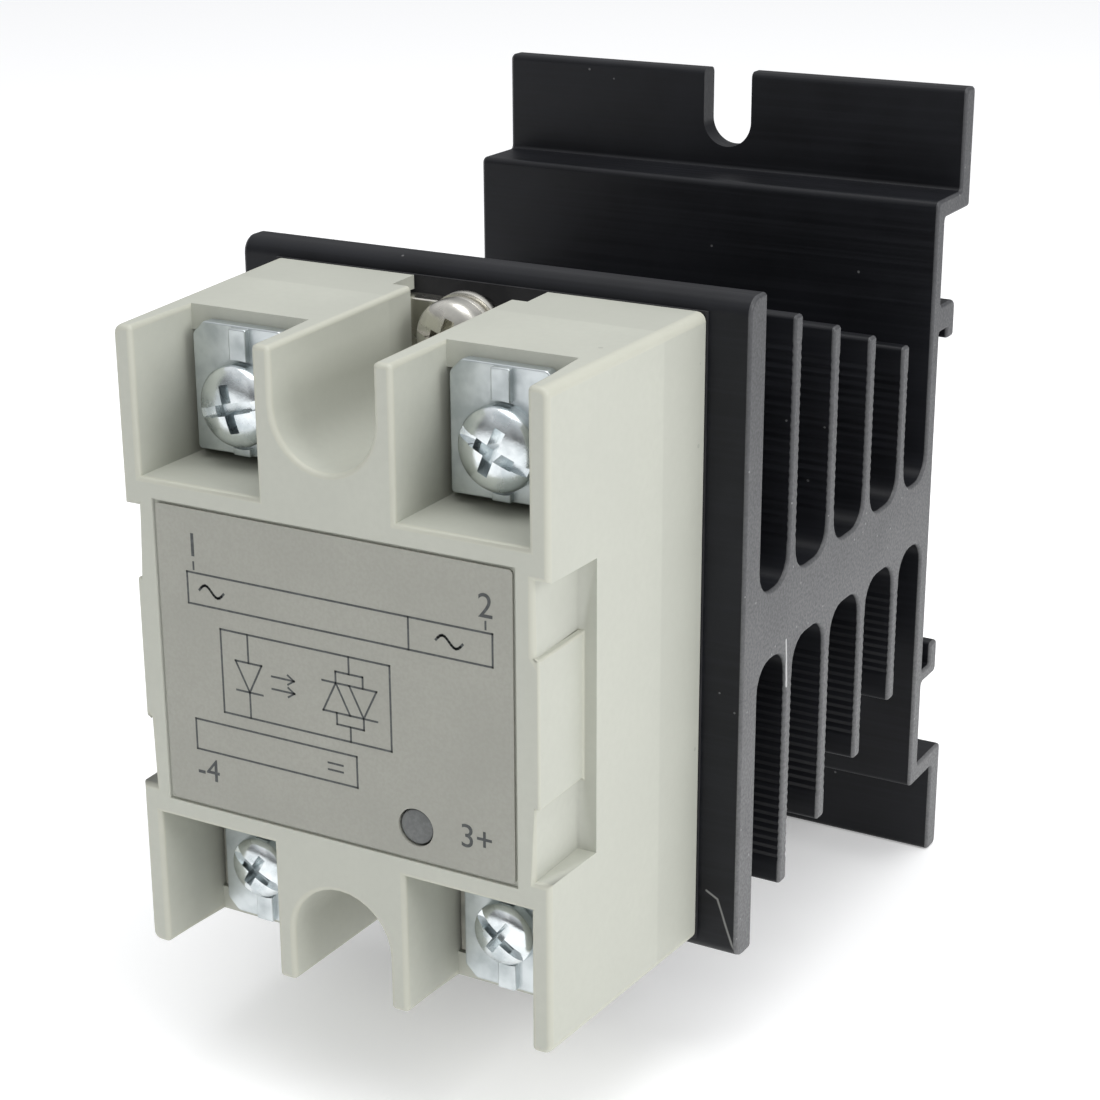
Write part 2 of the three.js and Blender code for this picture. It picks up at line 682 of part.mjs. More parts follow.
// Resistor lying along Z on the board: a barrel with its two leads.
function resistor({ x, z }) {
  const { radius, length, rise, sides } = resistorBarrel;
  const y = boardFrontY - radius - rise;
  const barrel = new THREE.CylinderGeometry(radius, radius, length, sides);
  barrel.rotateX(Math.PI / 2);
  barrel.translate(x, y, z);
  const { width, height, reach } = resistorLead;
  const wires = [-1, 1].map((side) => {
    const end = z + side * (length / 2 + reach);
    return slab(x, end, width, height, y - width / 2, boardFrontY - seatGap);
  });
  return join(solid(barrel), ...wires);
}

addPart("snubber_resistor", resistor(snubberResistor), material(0xcbb48a, 0.6, 0));
addPart("input_resistor", resistor(inputResistor), material(0x9fb7c4, 0.6, 0));

const ceramicHalfX = boardHalfX;
const ceramicHalfZ = boardHalfZ;
const ceramic = slab(0, 0, 2 * ceramicHalfX, 2 * ceramicHalfZ, ceramicFrontY, plateFrontY - seatGap);
addPart("ceramic_substrate", ceramic, material(0xe9e6dc, 0.5, 0));
const dieBackY = ceramicFrontY - seatGap;
[-1, 1].forEach((side, index) => {
  const x = (side * diePitch) / 2;
  const die = slab(x, 0, dieSize, dieSize, dieBackY - dieThickness, dieBackY);
  addPart("thyristor_chip_" + (index + 1), die, material(0x6f7177, 0.35, 0.6));
});

// Resin over the chips, between the two rows of legs.
function potting() {
  const height = 2 * (footInnerZ - 2 * fitGap);
  const width = 2 * (ceramicHalfX - fitGap);
  const back = ceramicFrontY - seatGap;
  const resin = slab(0, 0, width, height, boardBackY + resinHeadroom, back);
  const wells = [-1, 1].map((side) => {
    const across = dieSize + 2 * fitGap;
    return slab((side * diePitch) / 2, 0, across, across, back - dieThickness - 2 * fitGap, back + overrun);
  });
  return cut(resin, ...wells);
}

addPart("potting_resin", potting(), material(0x2a2b2e, 0.5, 0));

// ---------------------------------------------------------------- mounting screws and washers
// Flat ring whose back rests at the depth given.
function ring(size, z, back) {
  const front = back - size.thickness;
  const disc = rod(size.outer, front, back, 0, z);
  return cut(disc, rod(size.inner, front - overrun, back + overrun, 0, z));
}

// Split spring washer: a ring with one narrow gap.
function splitRing(size, z, back) {
  const half = washerSplit / 2;
  const front = back - size.thickness - overrun;
  const opening = block([0, front, z - half], [size.outer + overrun, back + overrun, z + half]);
  return cut(ring(size, z, back), opening);
}

[["upper", boltZ], ["lower", -boltZ]].forEach(([name, z]) => {
  const flatBack = plateFrontY - seatGap;
  const lockBack = flatBack - flatWasher.thickness - seatGap;
  const headFace = lockBack - lockWasher.thickness - seatGap;
  addPart("flat_washer_" + name, ring(flatWasher, z, flatBack), nickel());
  addPart("lock_washer_" + name, splitRing(lockWasher, z, lockBack), nickel());
  addPart("mounting_screw_" + name, panScrew(boltScrew, 0, z, headFace), nickel());
});

export default group;
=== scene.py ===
"""Looks of a solid state relay on its finned heat sink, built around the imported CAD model."""

import logging
import math
from abc import ABC, abstractmethod
from dataclasses import dataclass
from enum import Enum
from functools import cached_property
from typing import Callable, ClassVar, Iterable, Sequence

import bmesh
import bpy
from mathutils import Matrix, Vector


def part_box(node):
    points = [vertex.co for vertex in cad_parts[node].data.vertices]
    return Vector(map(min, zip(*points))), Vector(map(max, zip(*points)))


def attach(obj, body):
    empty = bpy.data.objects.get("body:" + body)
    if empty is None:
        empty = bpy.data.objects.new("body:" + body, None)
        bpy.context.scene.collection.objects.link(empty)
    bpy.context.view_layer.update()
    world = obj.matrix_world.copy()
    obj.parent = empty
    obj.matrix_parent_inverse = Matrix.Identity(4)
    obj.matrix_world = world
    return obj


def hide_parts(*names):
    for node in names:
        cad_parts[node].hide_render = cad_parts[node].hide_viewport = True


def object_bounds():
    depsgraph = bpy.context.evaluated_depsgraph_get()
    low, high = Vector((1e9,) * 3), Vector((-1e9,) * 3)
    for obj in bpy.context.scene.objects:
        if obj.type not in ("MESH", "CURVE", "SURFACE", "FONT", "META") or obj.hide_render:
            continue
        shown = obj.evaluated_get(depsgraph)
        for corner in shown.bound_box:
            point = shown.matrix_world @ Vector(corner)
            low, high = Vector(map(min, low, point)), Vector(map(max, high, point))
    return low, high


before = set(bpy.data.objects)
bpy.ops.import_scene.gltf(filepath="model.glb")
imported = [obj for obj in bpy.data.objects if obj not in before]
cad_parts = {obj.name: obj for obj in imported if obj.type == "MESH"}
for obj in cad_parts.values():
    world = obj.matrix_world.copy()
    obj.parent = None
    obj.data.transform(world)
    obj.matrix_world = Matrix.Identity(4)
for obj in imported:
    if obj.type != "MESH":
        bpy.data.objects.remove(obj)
CAD_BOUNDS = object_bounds()

log = logging.getLogger("relay")

MM = 0.001
MERGE_DISTANCE = 0.5e-6
FLAT_ANGLE = math.radians(1.0)
SHARP_ANGLE = math.radians(34.0)
PARALLEL = 0.95
END_FACING = 0.99
FEWEST_END_CORNERS = 40
ROOT_BODY = "heat_sink_and_relay"

Colour = tuple[float, float, float]
Corner = tuple[float, float, float]


class Axis(Enum):
    """Direction that an outline is drawn out along."""

    X = 0
    Y = 1

    def place(self, across: float, up: float, along: float) -> Vector:
        """Returns the point of an outline at (across, up), at a distance along the axis."""
        return Vector((along, across, up)) if self is Axis.X else Vector((across, along, up))

    def direction(self) -> Vector:
        """Returns the axis's unit vector."""
        return Vector((1, 0, 0)) if self is Axis.X else Vector((0, 1, 0))


@dataclass(frozen=True)
class Extent:
    """Lowest and highest corners of a CAD node at rest."""

    low: Vector
    high: Vector

    @classmethod
    def of(cls, node: str) -> "Extent":
        """Returns the extent of the named CAD node."""
        return cls(*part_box(node))

    @property
    def centre(self) -> Vector:
        """The middle of the box."""
        return (self.low + self.high) / 2

    @property
    def size(self) -> Vector:
        """The box's length along each axis."""
        return self.high - self.low


@dataclass(frozen=True)
class Tag:
    """What a finished piece is called, what it rides on and what it stands for."""

    name: str
    slot: str
    stands_for: tuple[str, ...] = ()
    body: str = ROOT_BODY


# ---------------------------------------------------------------------------- node trees


class Graph:
    """Adds and joins the nodes of one tree."""

    def __init__(self, tree: bpy.types.NodeTree) -> None:
        """Keeps the tree that nodes go into."""
        self.tree = tree

    def add(self, kind: str, values: dict | None = None, **settings: object) -> bpy.types.Node:
        """Adds one node.

        Args:
            kind: The node's Blender type.
            values: For each input, by name or index, a constant or the output socket that feeds it.
            settings: Attributes of the node itself.

        Returns:
            The new node.
        """
        node = self.tree.nodes.new(kind)
        for name, value in settings.items():
            setattr(node, name, value)
        for key, value in (values or {}).items():
            if isinstance(value, bpy.types.NodeSocket):
                self.tree.links.new(value, node.inputs[key])
            else:
                node.inputs[key].default_value = value
        return node

    def math(self, operation: str, first: object, second: object = 0.0) -> bpy.types.NodeSocket:
        """Returns the output of a Math node on one or two values."""
        return self.add("ShaderNodeMath", {0: first, 1: second}, operation=operation).outputs[0]

    def vector(self, operation: str, first: object, second: object = (0, 0, 0)) -> bpy.types.Node:
        """Returns a Vector Math node on one or two vectors."""
        return self.add("ShaderNodeVectorMath", {0: first, 1: second}, operation=operation)

    def span(self, value: object, low: float, high: float, to: tuple[float, float] = (0, 1)) -> object:
        """Maps a value from one range to another.

        Args:
            value: The output socket to map.
            low: The value that gives the first number of `to`.
            high: The value that gives the second.
            to: The range that comes out, held at its ends.

        Returns:
            The mapped output socket.
        """
        inputs = {0: value, 1: low, 2: high, 3: to[0], 4: to[1]}
        return self.add("ShaderNodeMapRange", inputs, clamp=True).outputs[0]

    def blend(self, share: object, first: object, second: object) -> bpy.types.NodeSocket:
        """Mixes two colours.

        Args:
            share: How much of the second colour shows, from 0 to 1.
            first: A colour, or a socket that gives one.
            second: The other colour.

        Returns:
            The mixed colour's socket.
        """
        node = self.add("ShaderNodeMix", data_type="RGBA", blend_type="MIX")
        for key, value in (("Factor", share), ("A", first), ("B", second)):
            kind = "VALUE" if key == "Factor" else "RGBA"
            socket = next(s for s in node.inputs if s.name == key and s.type == kind)
            if isinstance(value, bpy.types.NodeSocket):
                self.tree.links.new(value, socket)
            else:
                socket.default_value = (*value, 1) if kind == "RGBA" else value
        return next(s for s in node.outputs if s.type == "RGBA")

    def effect(self, tree: bpy.types.NodeTree, **values: object) -> bpy.types.Node:
        """Places a shared effect.

        Args:
            tree: The effect's node group.
            values: Its inputs by name, with spaces written as underscores.

        Returns:
            The group node.
        """
        node = self.add("ShaderNodeGroup", node_tree=tree)
        for name, value in values.items():
            socket = node.inputs[name.replace("_", " ")]
            if isinstance(value, bpy.types.NodeSocket):
                self.tree.links.new(value, socket)
            else:
                socket.default_value = value
        return node


class Effects:
    """The shader effects that several finishes share, each a node group that is built once."""

    @staticmethod
    def _group(name: str, inputs: dict[str, object],
               outputs: Iterable[str]) -> tuple[Graph, object, object]:
        """Starts a node group.

        Args:
            name: The group's name.
            inputs: Each input's default, a number or a vector.
            outputs: The names of the values that it puts out.

        Returns:
            The group's graph, its input node and its output node.
        """
        tree = bpy.data.node_groups.new(name, "ShaderNodeTree")
        for label, value in inputs.items():
            kind = "NodeSocketFloat" if isinstance(value, float) else "NodeSocketVector"
            socket = tree.interface.new_socket(name=label, in_out="INPUT", socket_type=kind)
            socket.default_value = value
        for label in outputs:
            tree.interface.new_socket(name=label, in_out="OUTPUT", socket_type="NodeSocketFloat")
        graph = Graph(tree)
        return graph, graph.add("NodeGroupInput"), graph.add("NodeGroupOutput")

    @cached_property
    def grain(self) -> bpy.types.NodeTree:
        """Even cloudy grain: Scale is in waves per metre, and Detail adds finer waves."""
        graph, given, out = self._group("even_grain", {"Scale": 1000.0, "Detail": 2.0}, ["Grain"])
        place = graph.add("ShaderNodeTexCoord").outputs["Object"]
        inputs = {"Vector": place, "Scale": given.outputs["Scale"], "Detail": given.outputs["Detail"]}
        noise = graph.add("ShaderNodeTexNoise", inputs)
        graph.tree.links.new(noise.outputs[0], out.inputs["Grain"])
        return graph.tree

    @cached_property
    def drawn_lines(self) -> bpy.types.NodeTree:
        """Long fine lines that run along X, as a die leaves them. Scale is in lines per metre."""
        graph, given, out = self._group("drawn_lines", {"Scale": 3000.0, "Squeeze": 0.02}, ["Lines"])
        place = graph.add("ShaderNodeTexCoord").outputs["Object"]
        scale = graph.add("ShaderNodeCombineXYZ", {0: given.outputs["Squeeze"], 1: 1.0, 2: 1.0}).outputs[0]
        squeezed = graph.vector("MULTIPLY", place, scale).outputs[0]
        inputs = {"Vector": squeezed, "Scale": given.outputs["Scale"], "Detail": 3.0}
        noise = graph.add("ShaderNodeTexNoise", inputs)
        graph.tree.links.new(noise.outputs[0], out.inputs["Lines"])
        return graph.tree

    @cached_property
    def specks(self) -> bpy.types.NodeTree:
        """Scattered round specks: Scale is in cells per metre, Size in cells, Share is how many show."""
        inputs = {"Scale": 400.0, "Size": 0.2, "Share": 0.2}
        graph, given, out = self._group("specks", inputs, ["Mask"])
        place = graph.add("ShaderNodeTexCoord").outputs["Object"]
        cells = graph.add("ShaderNodeTexVoronoi", {"Vector": place, "Scale": given.outputs["Scale"]})
        near = graph.math("LESS_THAN", cells.outputs["Distance"], given.outputs["Size"])
        chance = graph.add("ShaderNodeSeparateColor", {0: cells.outputs["Color"]}).outputs[0]
        picked = graph.math("LESS_THAN", chance, given.outputs["Share"])
        graph.tree.links.new(graph.math("MULTIPLY", near, picked), out.inputs["Mask"])
        return graph.tree

    @cached_property
    def scratch(self) -> bpy.types.NodeTree:
        """One thin wandering scratch from Start to End, of the given Width, in metres."""
        inputs = {"Start": (0.0, 0.0, 0.0), "End": (0.0, 0.0, 1.0), "Width": 0.0001, "Wander": 0.0002}
        graph, given, out = self._group("scratch", inputs, ["Mask"])
        place = graph.add("ShaderNodeTexCoord").outputs["Object"]
        noise = graph.add("ShaderNodeTexNoise", {"Vector": place, "Scale": 300.0, "Detail": 1.0})
        shake = graph.vector("SUBTRACT", noise.outputs["Color"], (0.5, 0.5, 0.5)).outputs[0]
        shift = graph.add("ShaderNodeVectorMath", {0: shake, "Scale": given.outputs["Wander"]},
                          operation="SCALE").outputs[0]
        point = graph.vector("ADD", place, shift).outputs[0]
        line = graph.vector("SUBTRACT", given.outputs["End"], given.outputs["Start"]).outputs[0]
        offset = graph.vector("SUBTRACT", point, given.outputs["Start"]).outputs[0]
        along = graph.vector("DOT_PRODUCT", offset, line).outputs["Value"]
        whole = graph.vector("DOT_PRODUCT", line, line).outputs["Value"]
        share = graph.span(graph.math("DIVIDE", along, whole), 0.0, 1.0)
        foot = graph.add("ShaderNodeVectorMath", {0: line, "Scale": share}, operation="SCALE").outputs[0]
        distance = graph.vector("DISTANCE", offset, foot).outputs["Value"]
        ratio = graph.math("DIVIDE", distance, given.outputs["Width"])
        graph.tree.links.new(graph.span(ratio, 1.0, 0.3), out.inputs["Mask"])
        return graph.tree


EFFECTS = Effects()


# ---------------------------------------------------------------------------- finishes


@dataclass(frozen=True)
class Finish(ABC):
    """A surface finish that dresses one Principled shader."""

    name: str
    colour: Colour
    roughness: float

    def material(self) -> bpy.types.Material:
        """Returns this finish's material, which is made the first time."""
        found = bpy.data.materials.get(self.name)
        if found:
            return found
        made = bpy.data.materials.new(self.name)
        made.use_nodes = True
        made.node_tree.nodes.clear()
        graph = Graph(made.node_tree)
        shader = graph.add("ShaderNodeBsdfPrincipled")
        graph.add("ShaderNodeOutputMaterial", {"Surface": shader.outputs[0]})
        self.dress(graph, shader)
        made.diffuse_color = (*self.colour, 1)
        return made

    @abstractmethod
    def dress(self, graph: Graph, shader: bpy.types.Node) -> None:
        """Sets and feeds the shader's inputs.

        Args:
            graph: The material's graph.
            shader: Its Principled shader.
        """

    def shade(self, factor: float) -> Colour:
        """Returns the finish's colour made lighter or darker by a factor."""
        return tuple(min(1.0, channel * factor) for channel in self.colour)

    @staticmethod
    def feed(graph: Graph, shader: bpy.types.Node, **sockets: object) -> None:
        """Sets or links the shader's inputs.

        Args:
            graph: The material's graph.
            shader: The Principled shader.
            sockets: Its inputs by name, with spaces written as underscores.
        """
        for name, value in sockets.items():
            socket = shader.inputs[name.replace("_", " ")]
            if isinstance(value, bpy.types.NodeSocket):
                graph.tree.links.new(value, socket)
            else:
                socket.default_value = value

    @staticmethod
    def relief(graph: Graph, height: object, depth: float, under: object = None) -> object:
        """Adds a bump.

        Args:
            graph: The material's graph.
            height: The socket that gives the height, from 0 to 1.
            depth: How deep the bump is, in metres.
            under: The normal that it lies over, if there is one.

        Returns:
            The bumped normal's socket.
        """
        inputs = {"Strength": 1.0, "Distance": depth, "Height": height}
        if under is not None:
            inputs["Normal"] = under
        return graph.add("ShaderNodeBump", inputs).outputs[0]

    @staticmethod
    def rim(graph: Graph) -> object:
        """Returns the mask of the piece's rounded edges."""
        return graph.add("ShaderNodeAttribute", attribute_name="rim").outputs["Fac"]


@dataclass(frozen=True)
class Moulding(Finish):
    """Moulded plastic with a fine satin grain and faint flow clouds."""

    rim_highlight_colour: Colour
    skirt_shade_from: float
    grain_depth: float = 0.004 * MM

    def dress(self, graph: Graph, shader: bpy.types.Node) -> None:
        """Feeds colour clouds, a warm painted highlight on the rounded edges, specks, a fine grain and
        painted shade on the skirt behind the crease.

        Args:
            graph: The material's graph.
            shader: Its Principled shader.
        """
        place = graph.add("ShaderNodeTexCoord").outputs["Object"]
        depth = graph.add("ShaderNodeSeparateXYZ", {0: place}).outputs["Y"]
        # Painted shade: the skirt behind the crease is made darker, as its faces turn a little from the
        # light.
        skirt = graph.span(depth, self.skirt_shade_from, self.skirt_shade_from + 0.3 * MM, (0.0, 0.4))
        clouds = graph.effect(EFFECTS.grain, Scale=90.0, Detail=3.0).outputs[0]
        grain = graph.effect(EFFECTS.grain, Scale=5200.0, Detail=2.0).outputs[0]
        fine = graph.effect(EFFECTS.grain, Scale=1500.0, Detail=4.0).outputs[0]
        specks = graph.effect(EFFECTS.specks, Scale=330.0, Size=0.07, Share=0.12).outputs[0]
        base = graph.blend(graph.span(clouds, 0.3, 0.7), self.shade(0.965), self.shade(1.03))
        mottled = graph.blend(graph.span(fine, 0.35, 0.65, (0.0, 0.35)), base, self.shade(0.93))
        skirt_shaded = graph.blend(skirt, mottled, self.shade(0.82))
        # Painted highlight: the rounded rims take a lighter, warmer colour.
        edges_highlit = graph.blend(graph.math("MULTIPLY", self.rim(graph), 0.6), skirt_shaded, self.rim_highlight_colour)
        spotted = graph.blend(graph.math("MULTIPLY", specks, 0.35), edges_highlit, self.shade(0.45))
        rough = graph.span(clouds, 0.3, 0.7, (self.roughness - 0.05, self.roughness + 0.06))
        self.feed(graph, shader, Base_Color=spotted, Roughness=rough)
        self.feed(graph, shader, Normal=self.relief(graph, grain, self.grain_depth))


@dataclass(frozen=True)
class Anodised(Finish):
    """Black anodised extrusion with die lines along X, and dust."""

    line_depth: float = 0.004 * MM
    scratch_from: Corner = (0.0, 0.0, 0.0)
    scratch_bend: Corner = (0.0, 0.0, 0.0)
    scratch_to: Corner = (0.0, 0.0, 0.0)

    def dress(self, graph: Graph, shader: bpy.types.Node) -> None:
        """Feeds die lines, clouds of the dye, dust, worn edges with a painted highlight and one scratch.

        Args:
            graph: The material's graph.
            shader: Its Principled shader.
        """
        lines = graph.effect(EFFECTS.drawn_lines, Scale=2600.0, Squeeze=0.012).outputs[0]
        clouds = graph.effect(EFFECTS.grain, Scale=120.0, Detail=4.0).outputs[0]
        grain = graph.effect(EFFECTS.grain, Scale=4200.0, Detail=3.0).outputs[0]
        dust = graph.effect(EFFECTS.specks, Scale=700.0, Size=0.09, Share=0.035).outputs[0]
        base = graph.blend(graph.span(clouds, 0.3, 0.7), self.shade(0.75), self.shade(1.4))
        streaked = graph.blend(graph.span(lines, 0.45, 0.75, (0.0, 0.5)), base, self.shade(1.9))
        speckled = graph.blend(graph.math("MULTIPLY", dust, 0.35), streaked, (0.3, 0.3, 0.3))
        # Painted highlight, with some wear: the rounded edges are made three times lighter.
        edges_highlit = graph.blend(graph.math("MULTIPLY", self.rim(graph), 0.3), speckled, self.shade(3.0))
        width = 0.14 * MM
        first = graph.effect(EFFECTS.scratch, Start=self.scratch_from, End=self.scratch_bend, Width=width)
        second = graph.effect(EFFECTS.scratch, Start=self.scratch_bend, End=self.scratch_to, Width=width)
        scratched = graph.math("MAXIMUM", first.outputs[0], second.outputs[0])
        colour = graph.blend(graph.math("MULTIPLY", scratched, 0.7), edges_highlit, (0.3, 0.3, 0.29))
        rough = graph.span(lines, 0.3, 0.7, (self.roughness - 0.07, self.roughness + 0.08))
        normal = self.relief(graph, lines, self.line_depth)
        normal = self.relief(graph, grain, self.line_depth * 0.8, normal)
        self.feed(graph, shader, Base_Color=colour, Roughness=rough, Metallic=0.0, Normal=normal)
        shader.inputs["Specular IOR Level"].default_value = 0.22


@dataclass(frozen=True)
class SawnEnd(Finish):
    """Cut end of the extrusion, sawn before it was anodised, with painted light that makes it lighter
    towards its foot.
    """

    pale: Colour
    low_z: float
    high_z: float
    mark_from: Corner
    mark_to: Corner

    def dress(self, graph: Graph, shader: bpy.types.Node) -> None:
        """Feeds saw grain, painted light as a slow change of colour along Z, and one bright mark.

        Args:
            graph: The material's graph.
            shader: Its Principled shader.
        """
        place = graph.add("ShaderNodeTexCoord").outputs["Object"]
        height = graph.add("ShaderNodeSeparateXYZ", {0: place}).outputs["Z"]
        clouds = graph.effect(EFFECTS.grain, Scale=150.0, Detail=4.0).outputs[0]
        grain = graph.effect(EFFECTS.grain, Scale=3600.0, Detail=4.0).outputs[0]
        pits = graph.effect(EFFECTS.specks, Scale=1400.0, Size=0.15, Share=0.03).outputs[0]
        # Painted light: the colour runs from dark at the top to pale at the foot, broken by clouds.
        fade = graph.math("ADD", graph.span(height, self.high_z, self.low_z),
                          graph.span(clouds, 0.3, 0.7, (-0.15, 0.15)))
        base = graph.blend(graph.span(fade, 0.0, 1.0), self.colour, self.pale)
        grained = graph.blend(graph.span(grain, 0.4, 0.62, (0.0, 0.3)), base, self.shade(0.6))
        glints = graph.blend(graph.math("MULTIPLY", pits, 0.4), grained, (0.4, 0.4, 0.4))
        mark = graph.effect(EFFECTS.scratch, Start=self.mark_from, End=self.mark_to, Width=0.16 * MM)
        colour = graph.blend(graph.math("MULTIPLY", mark.outputs[0], 0.8), glints, (0.6, 0.6, 0.6))
        rough = graph.span(grain, 0.35, 0.65, (self.roughness - 0.08, self.roughness + 0.1))
        normal = self.relief(graph, grain, 0.006 * MM)
        self.feed(graph, shader, Base_Color=colour, Roughness=rough, Metallic=0.0, Normal=normal)


@dataclass(frozen=True)
class Plating(Finish):
    """Thin bright plating on steel or brass, with stains and fine handling marks."""

    stain: Colour
    dent_depth: float = 0.01 * MM

    def dress(self, graph: Graph, shader: bpy.types.Node) -> None:
        """Feeds stains, roughness clouds and a hammered relief.

        Args:
            graph: The material's graph.
            shader: Its Principled shader.
        """
        clouds = graph.effect(EFFECTS.grain, Scale=420.0, Detail=4.0).outputs[0]
        dents = graph.effect(EFFECTS.grain, Scale=750.0, Detail=3.0).outputs[0]
        grain = graph.effect(EFFECTS.grain, Scale=6000.0, Detail=2.0).outputs[0]
        colour = graph.blend(graph.span(clouds, 0.42, 0.68), self.colour, self.stain)
        rough = graph.span(clouds, 0.35, 0.7, (self.roughness, self.roughness + 0.16))
        normal = self.relief(graph, dents, self.dent_depth)
        normal = self.relief(graph, grain, 0.002 * MM, normal)
        self.feed(graph, shader, Base_Color=colour, Roughness=rough, Metallic=1.0, Normal=normal)


@dataclass(frozen=True)
class Film(Finish):
    """Printed satin film of the front label."""

    def dress(self, graph: Graph, shader: bpy.types.Node) -> None:
        """Feeds a faint weave of grain and slow clouds.

        Args:
            graph: The material's graph.
            shader: Its Principled shader.
        """
        clouds = graph.effect(EFFECTS.grain, Scale=130.0, Detail=3.0).outputs[0]
        grain = graph.effect(EFFECTS.grain, Scale=3400.0, Detail=3.0).outputs[0]
        base = graph.blend(graph.span(clouds, 0.3, 0.7), self.shade(0.96), self.shade(1.04))
        colour = graph.blend(graph.span(grain, 0.38, 0.62, (0.0, 0.4)), base, self.shade(0.88))
        rough = graph.span(grain, 0.35, 0.65, (self.roughness - 0.05, self.roughness + 0.07))
        normal = self.relief(graph, grain, 0.003 * MM)
        self.feed(graph, shader, Base_Color=colour, Roughness=rough, Normal=normal)


@dataclass(frozen=True)
class Ink(Finish):
    """Screen printed ink, a little uneven."""

    def dress(self, graph: Graph, shader: bpy.types.Node) -> None:
        """Feeds thin places in the ink.

        Args:
            graph: The material's graph.
            shader: Its Principled shader.
        """
        thin = graph.effect(EFFECTS.grain, Scale=2600.0, Detail=3.0).outputs[0]
        colour = graph.blend(graph.span(thin, 0.45, 0.75, (0.0, 0.5)), self.colour, self.shade(2.4))
        self.feed(graph, shader, Base_Color=colour, Roughness=self.roughness)


@dataclass(frozen=True)
class Lens(Finish):
    """Smoky plastic lens, with a fine moulded frost."""

    def dress(self, graph: Graph, shader: bpy.types.Node) -> None:
        """Feeds a frost and a clear coat.

        Args:
            graph: The material's graph.
            shader: Its Principled shader.
        """
        frost = graph.effect(EFFECTS.grain, Scale=2800.0, Detail=3.0).outputs[0]
        colour = graph.blend(graph.span(frost, 0.4, 0.65), self.colour, self.shade(1.35))
        rough = graph.span(frost, 0.35, 0.65, (self.roughness, self.roughness + 0.15))
        self.feed(graph, shader, Base_Color=colour, Roughness=rough)
        shader.inputs["Coat Weight"].default_value = 0.25
        shader.inputs["Coat Roughness"].default_value = 0.2


@dataclass(frozen=True)
class Component(Finish):
    """Small electronic part inside the relay: one colour broken by a second in fine grain."""

    second: Colour
    metallic: float = 0.0
    scale: float = 900.0

    def dress(self, graph: Graph, shader: bpy.types.Node) -> None:
        """Feeds two colours, roughness and a grain.

        Args:
            graph: The material's graph.
            shader: Its Principled shader.
        """
        grain = graph.effect(EFFECTS.grain, Scale=self.scale, Detail=4.0).outputs[0]
        colour = graph.blend(graph.span(grain, 0.4, 0.65), self.colour, self.second)
        rough = graph.span(grain, 0.3, 0.7, (self.roughness - 0.06, self.roughness + 0.08))
        normal = self.relief(graph, grain, 0.008 * MM)
        self.feed(graph, shader, Base_Color=colour, Roughness=rough, Metallic=self.metallic, Normal=normal)


# ---------------------------------------------------------------------------- shaping


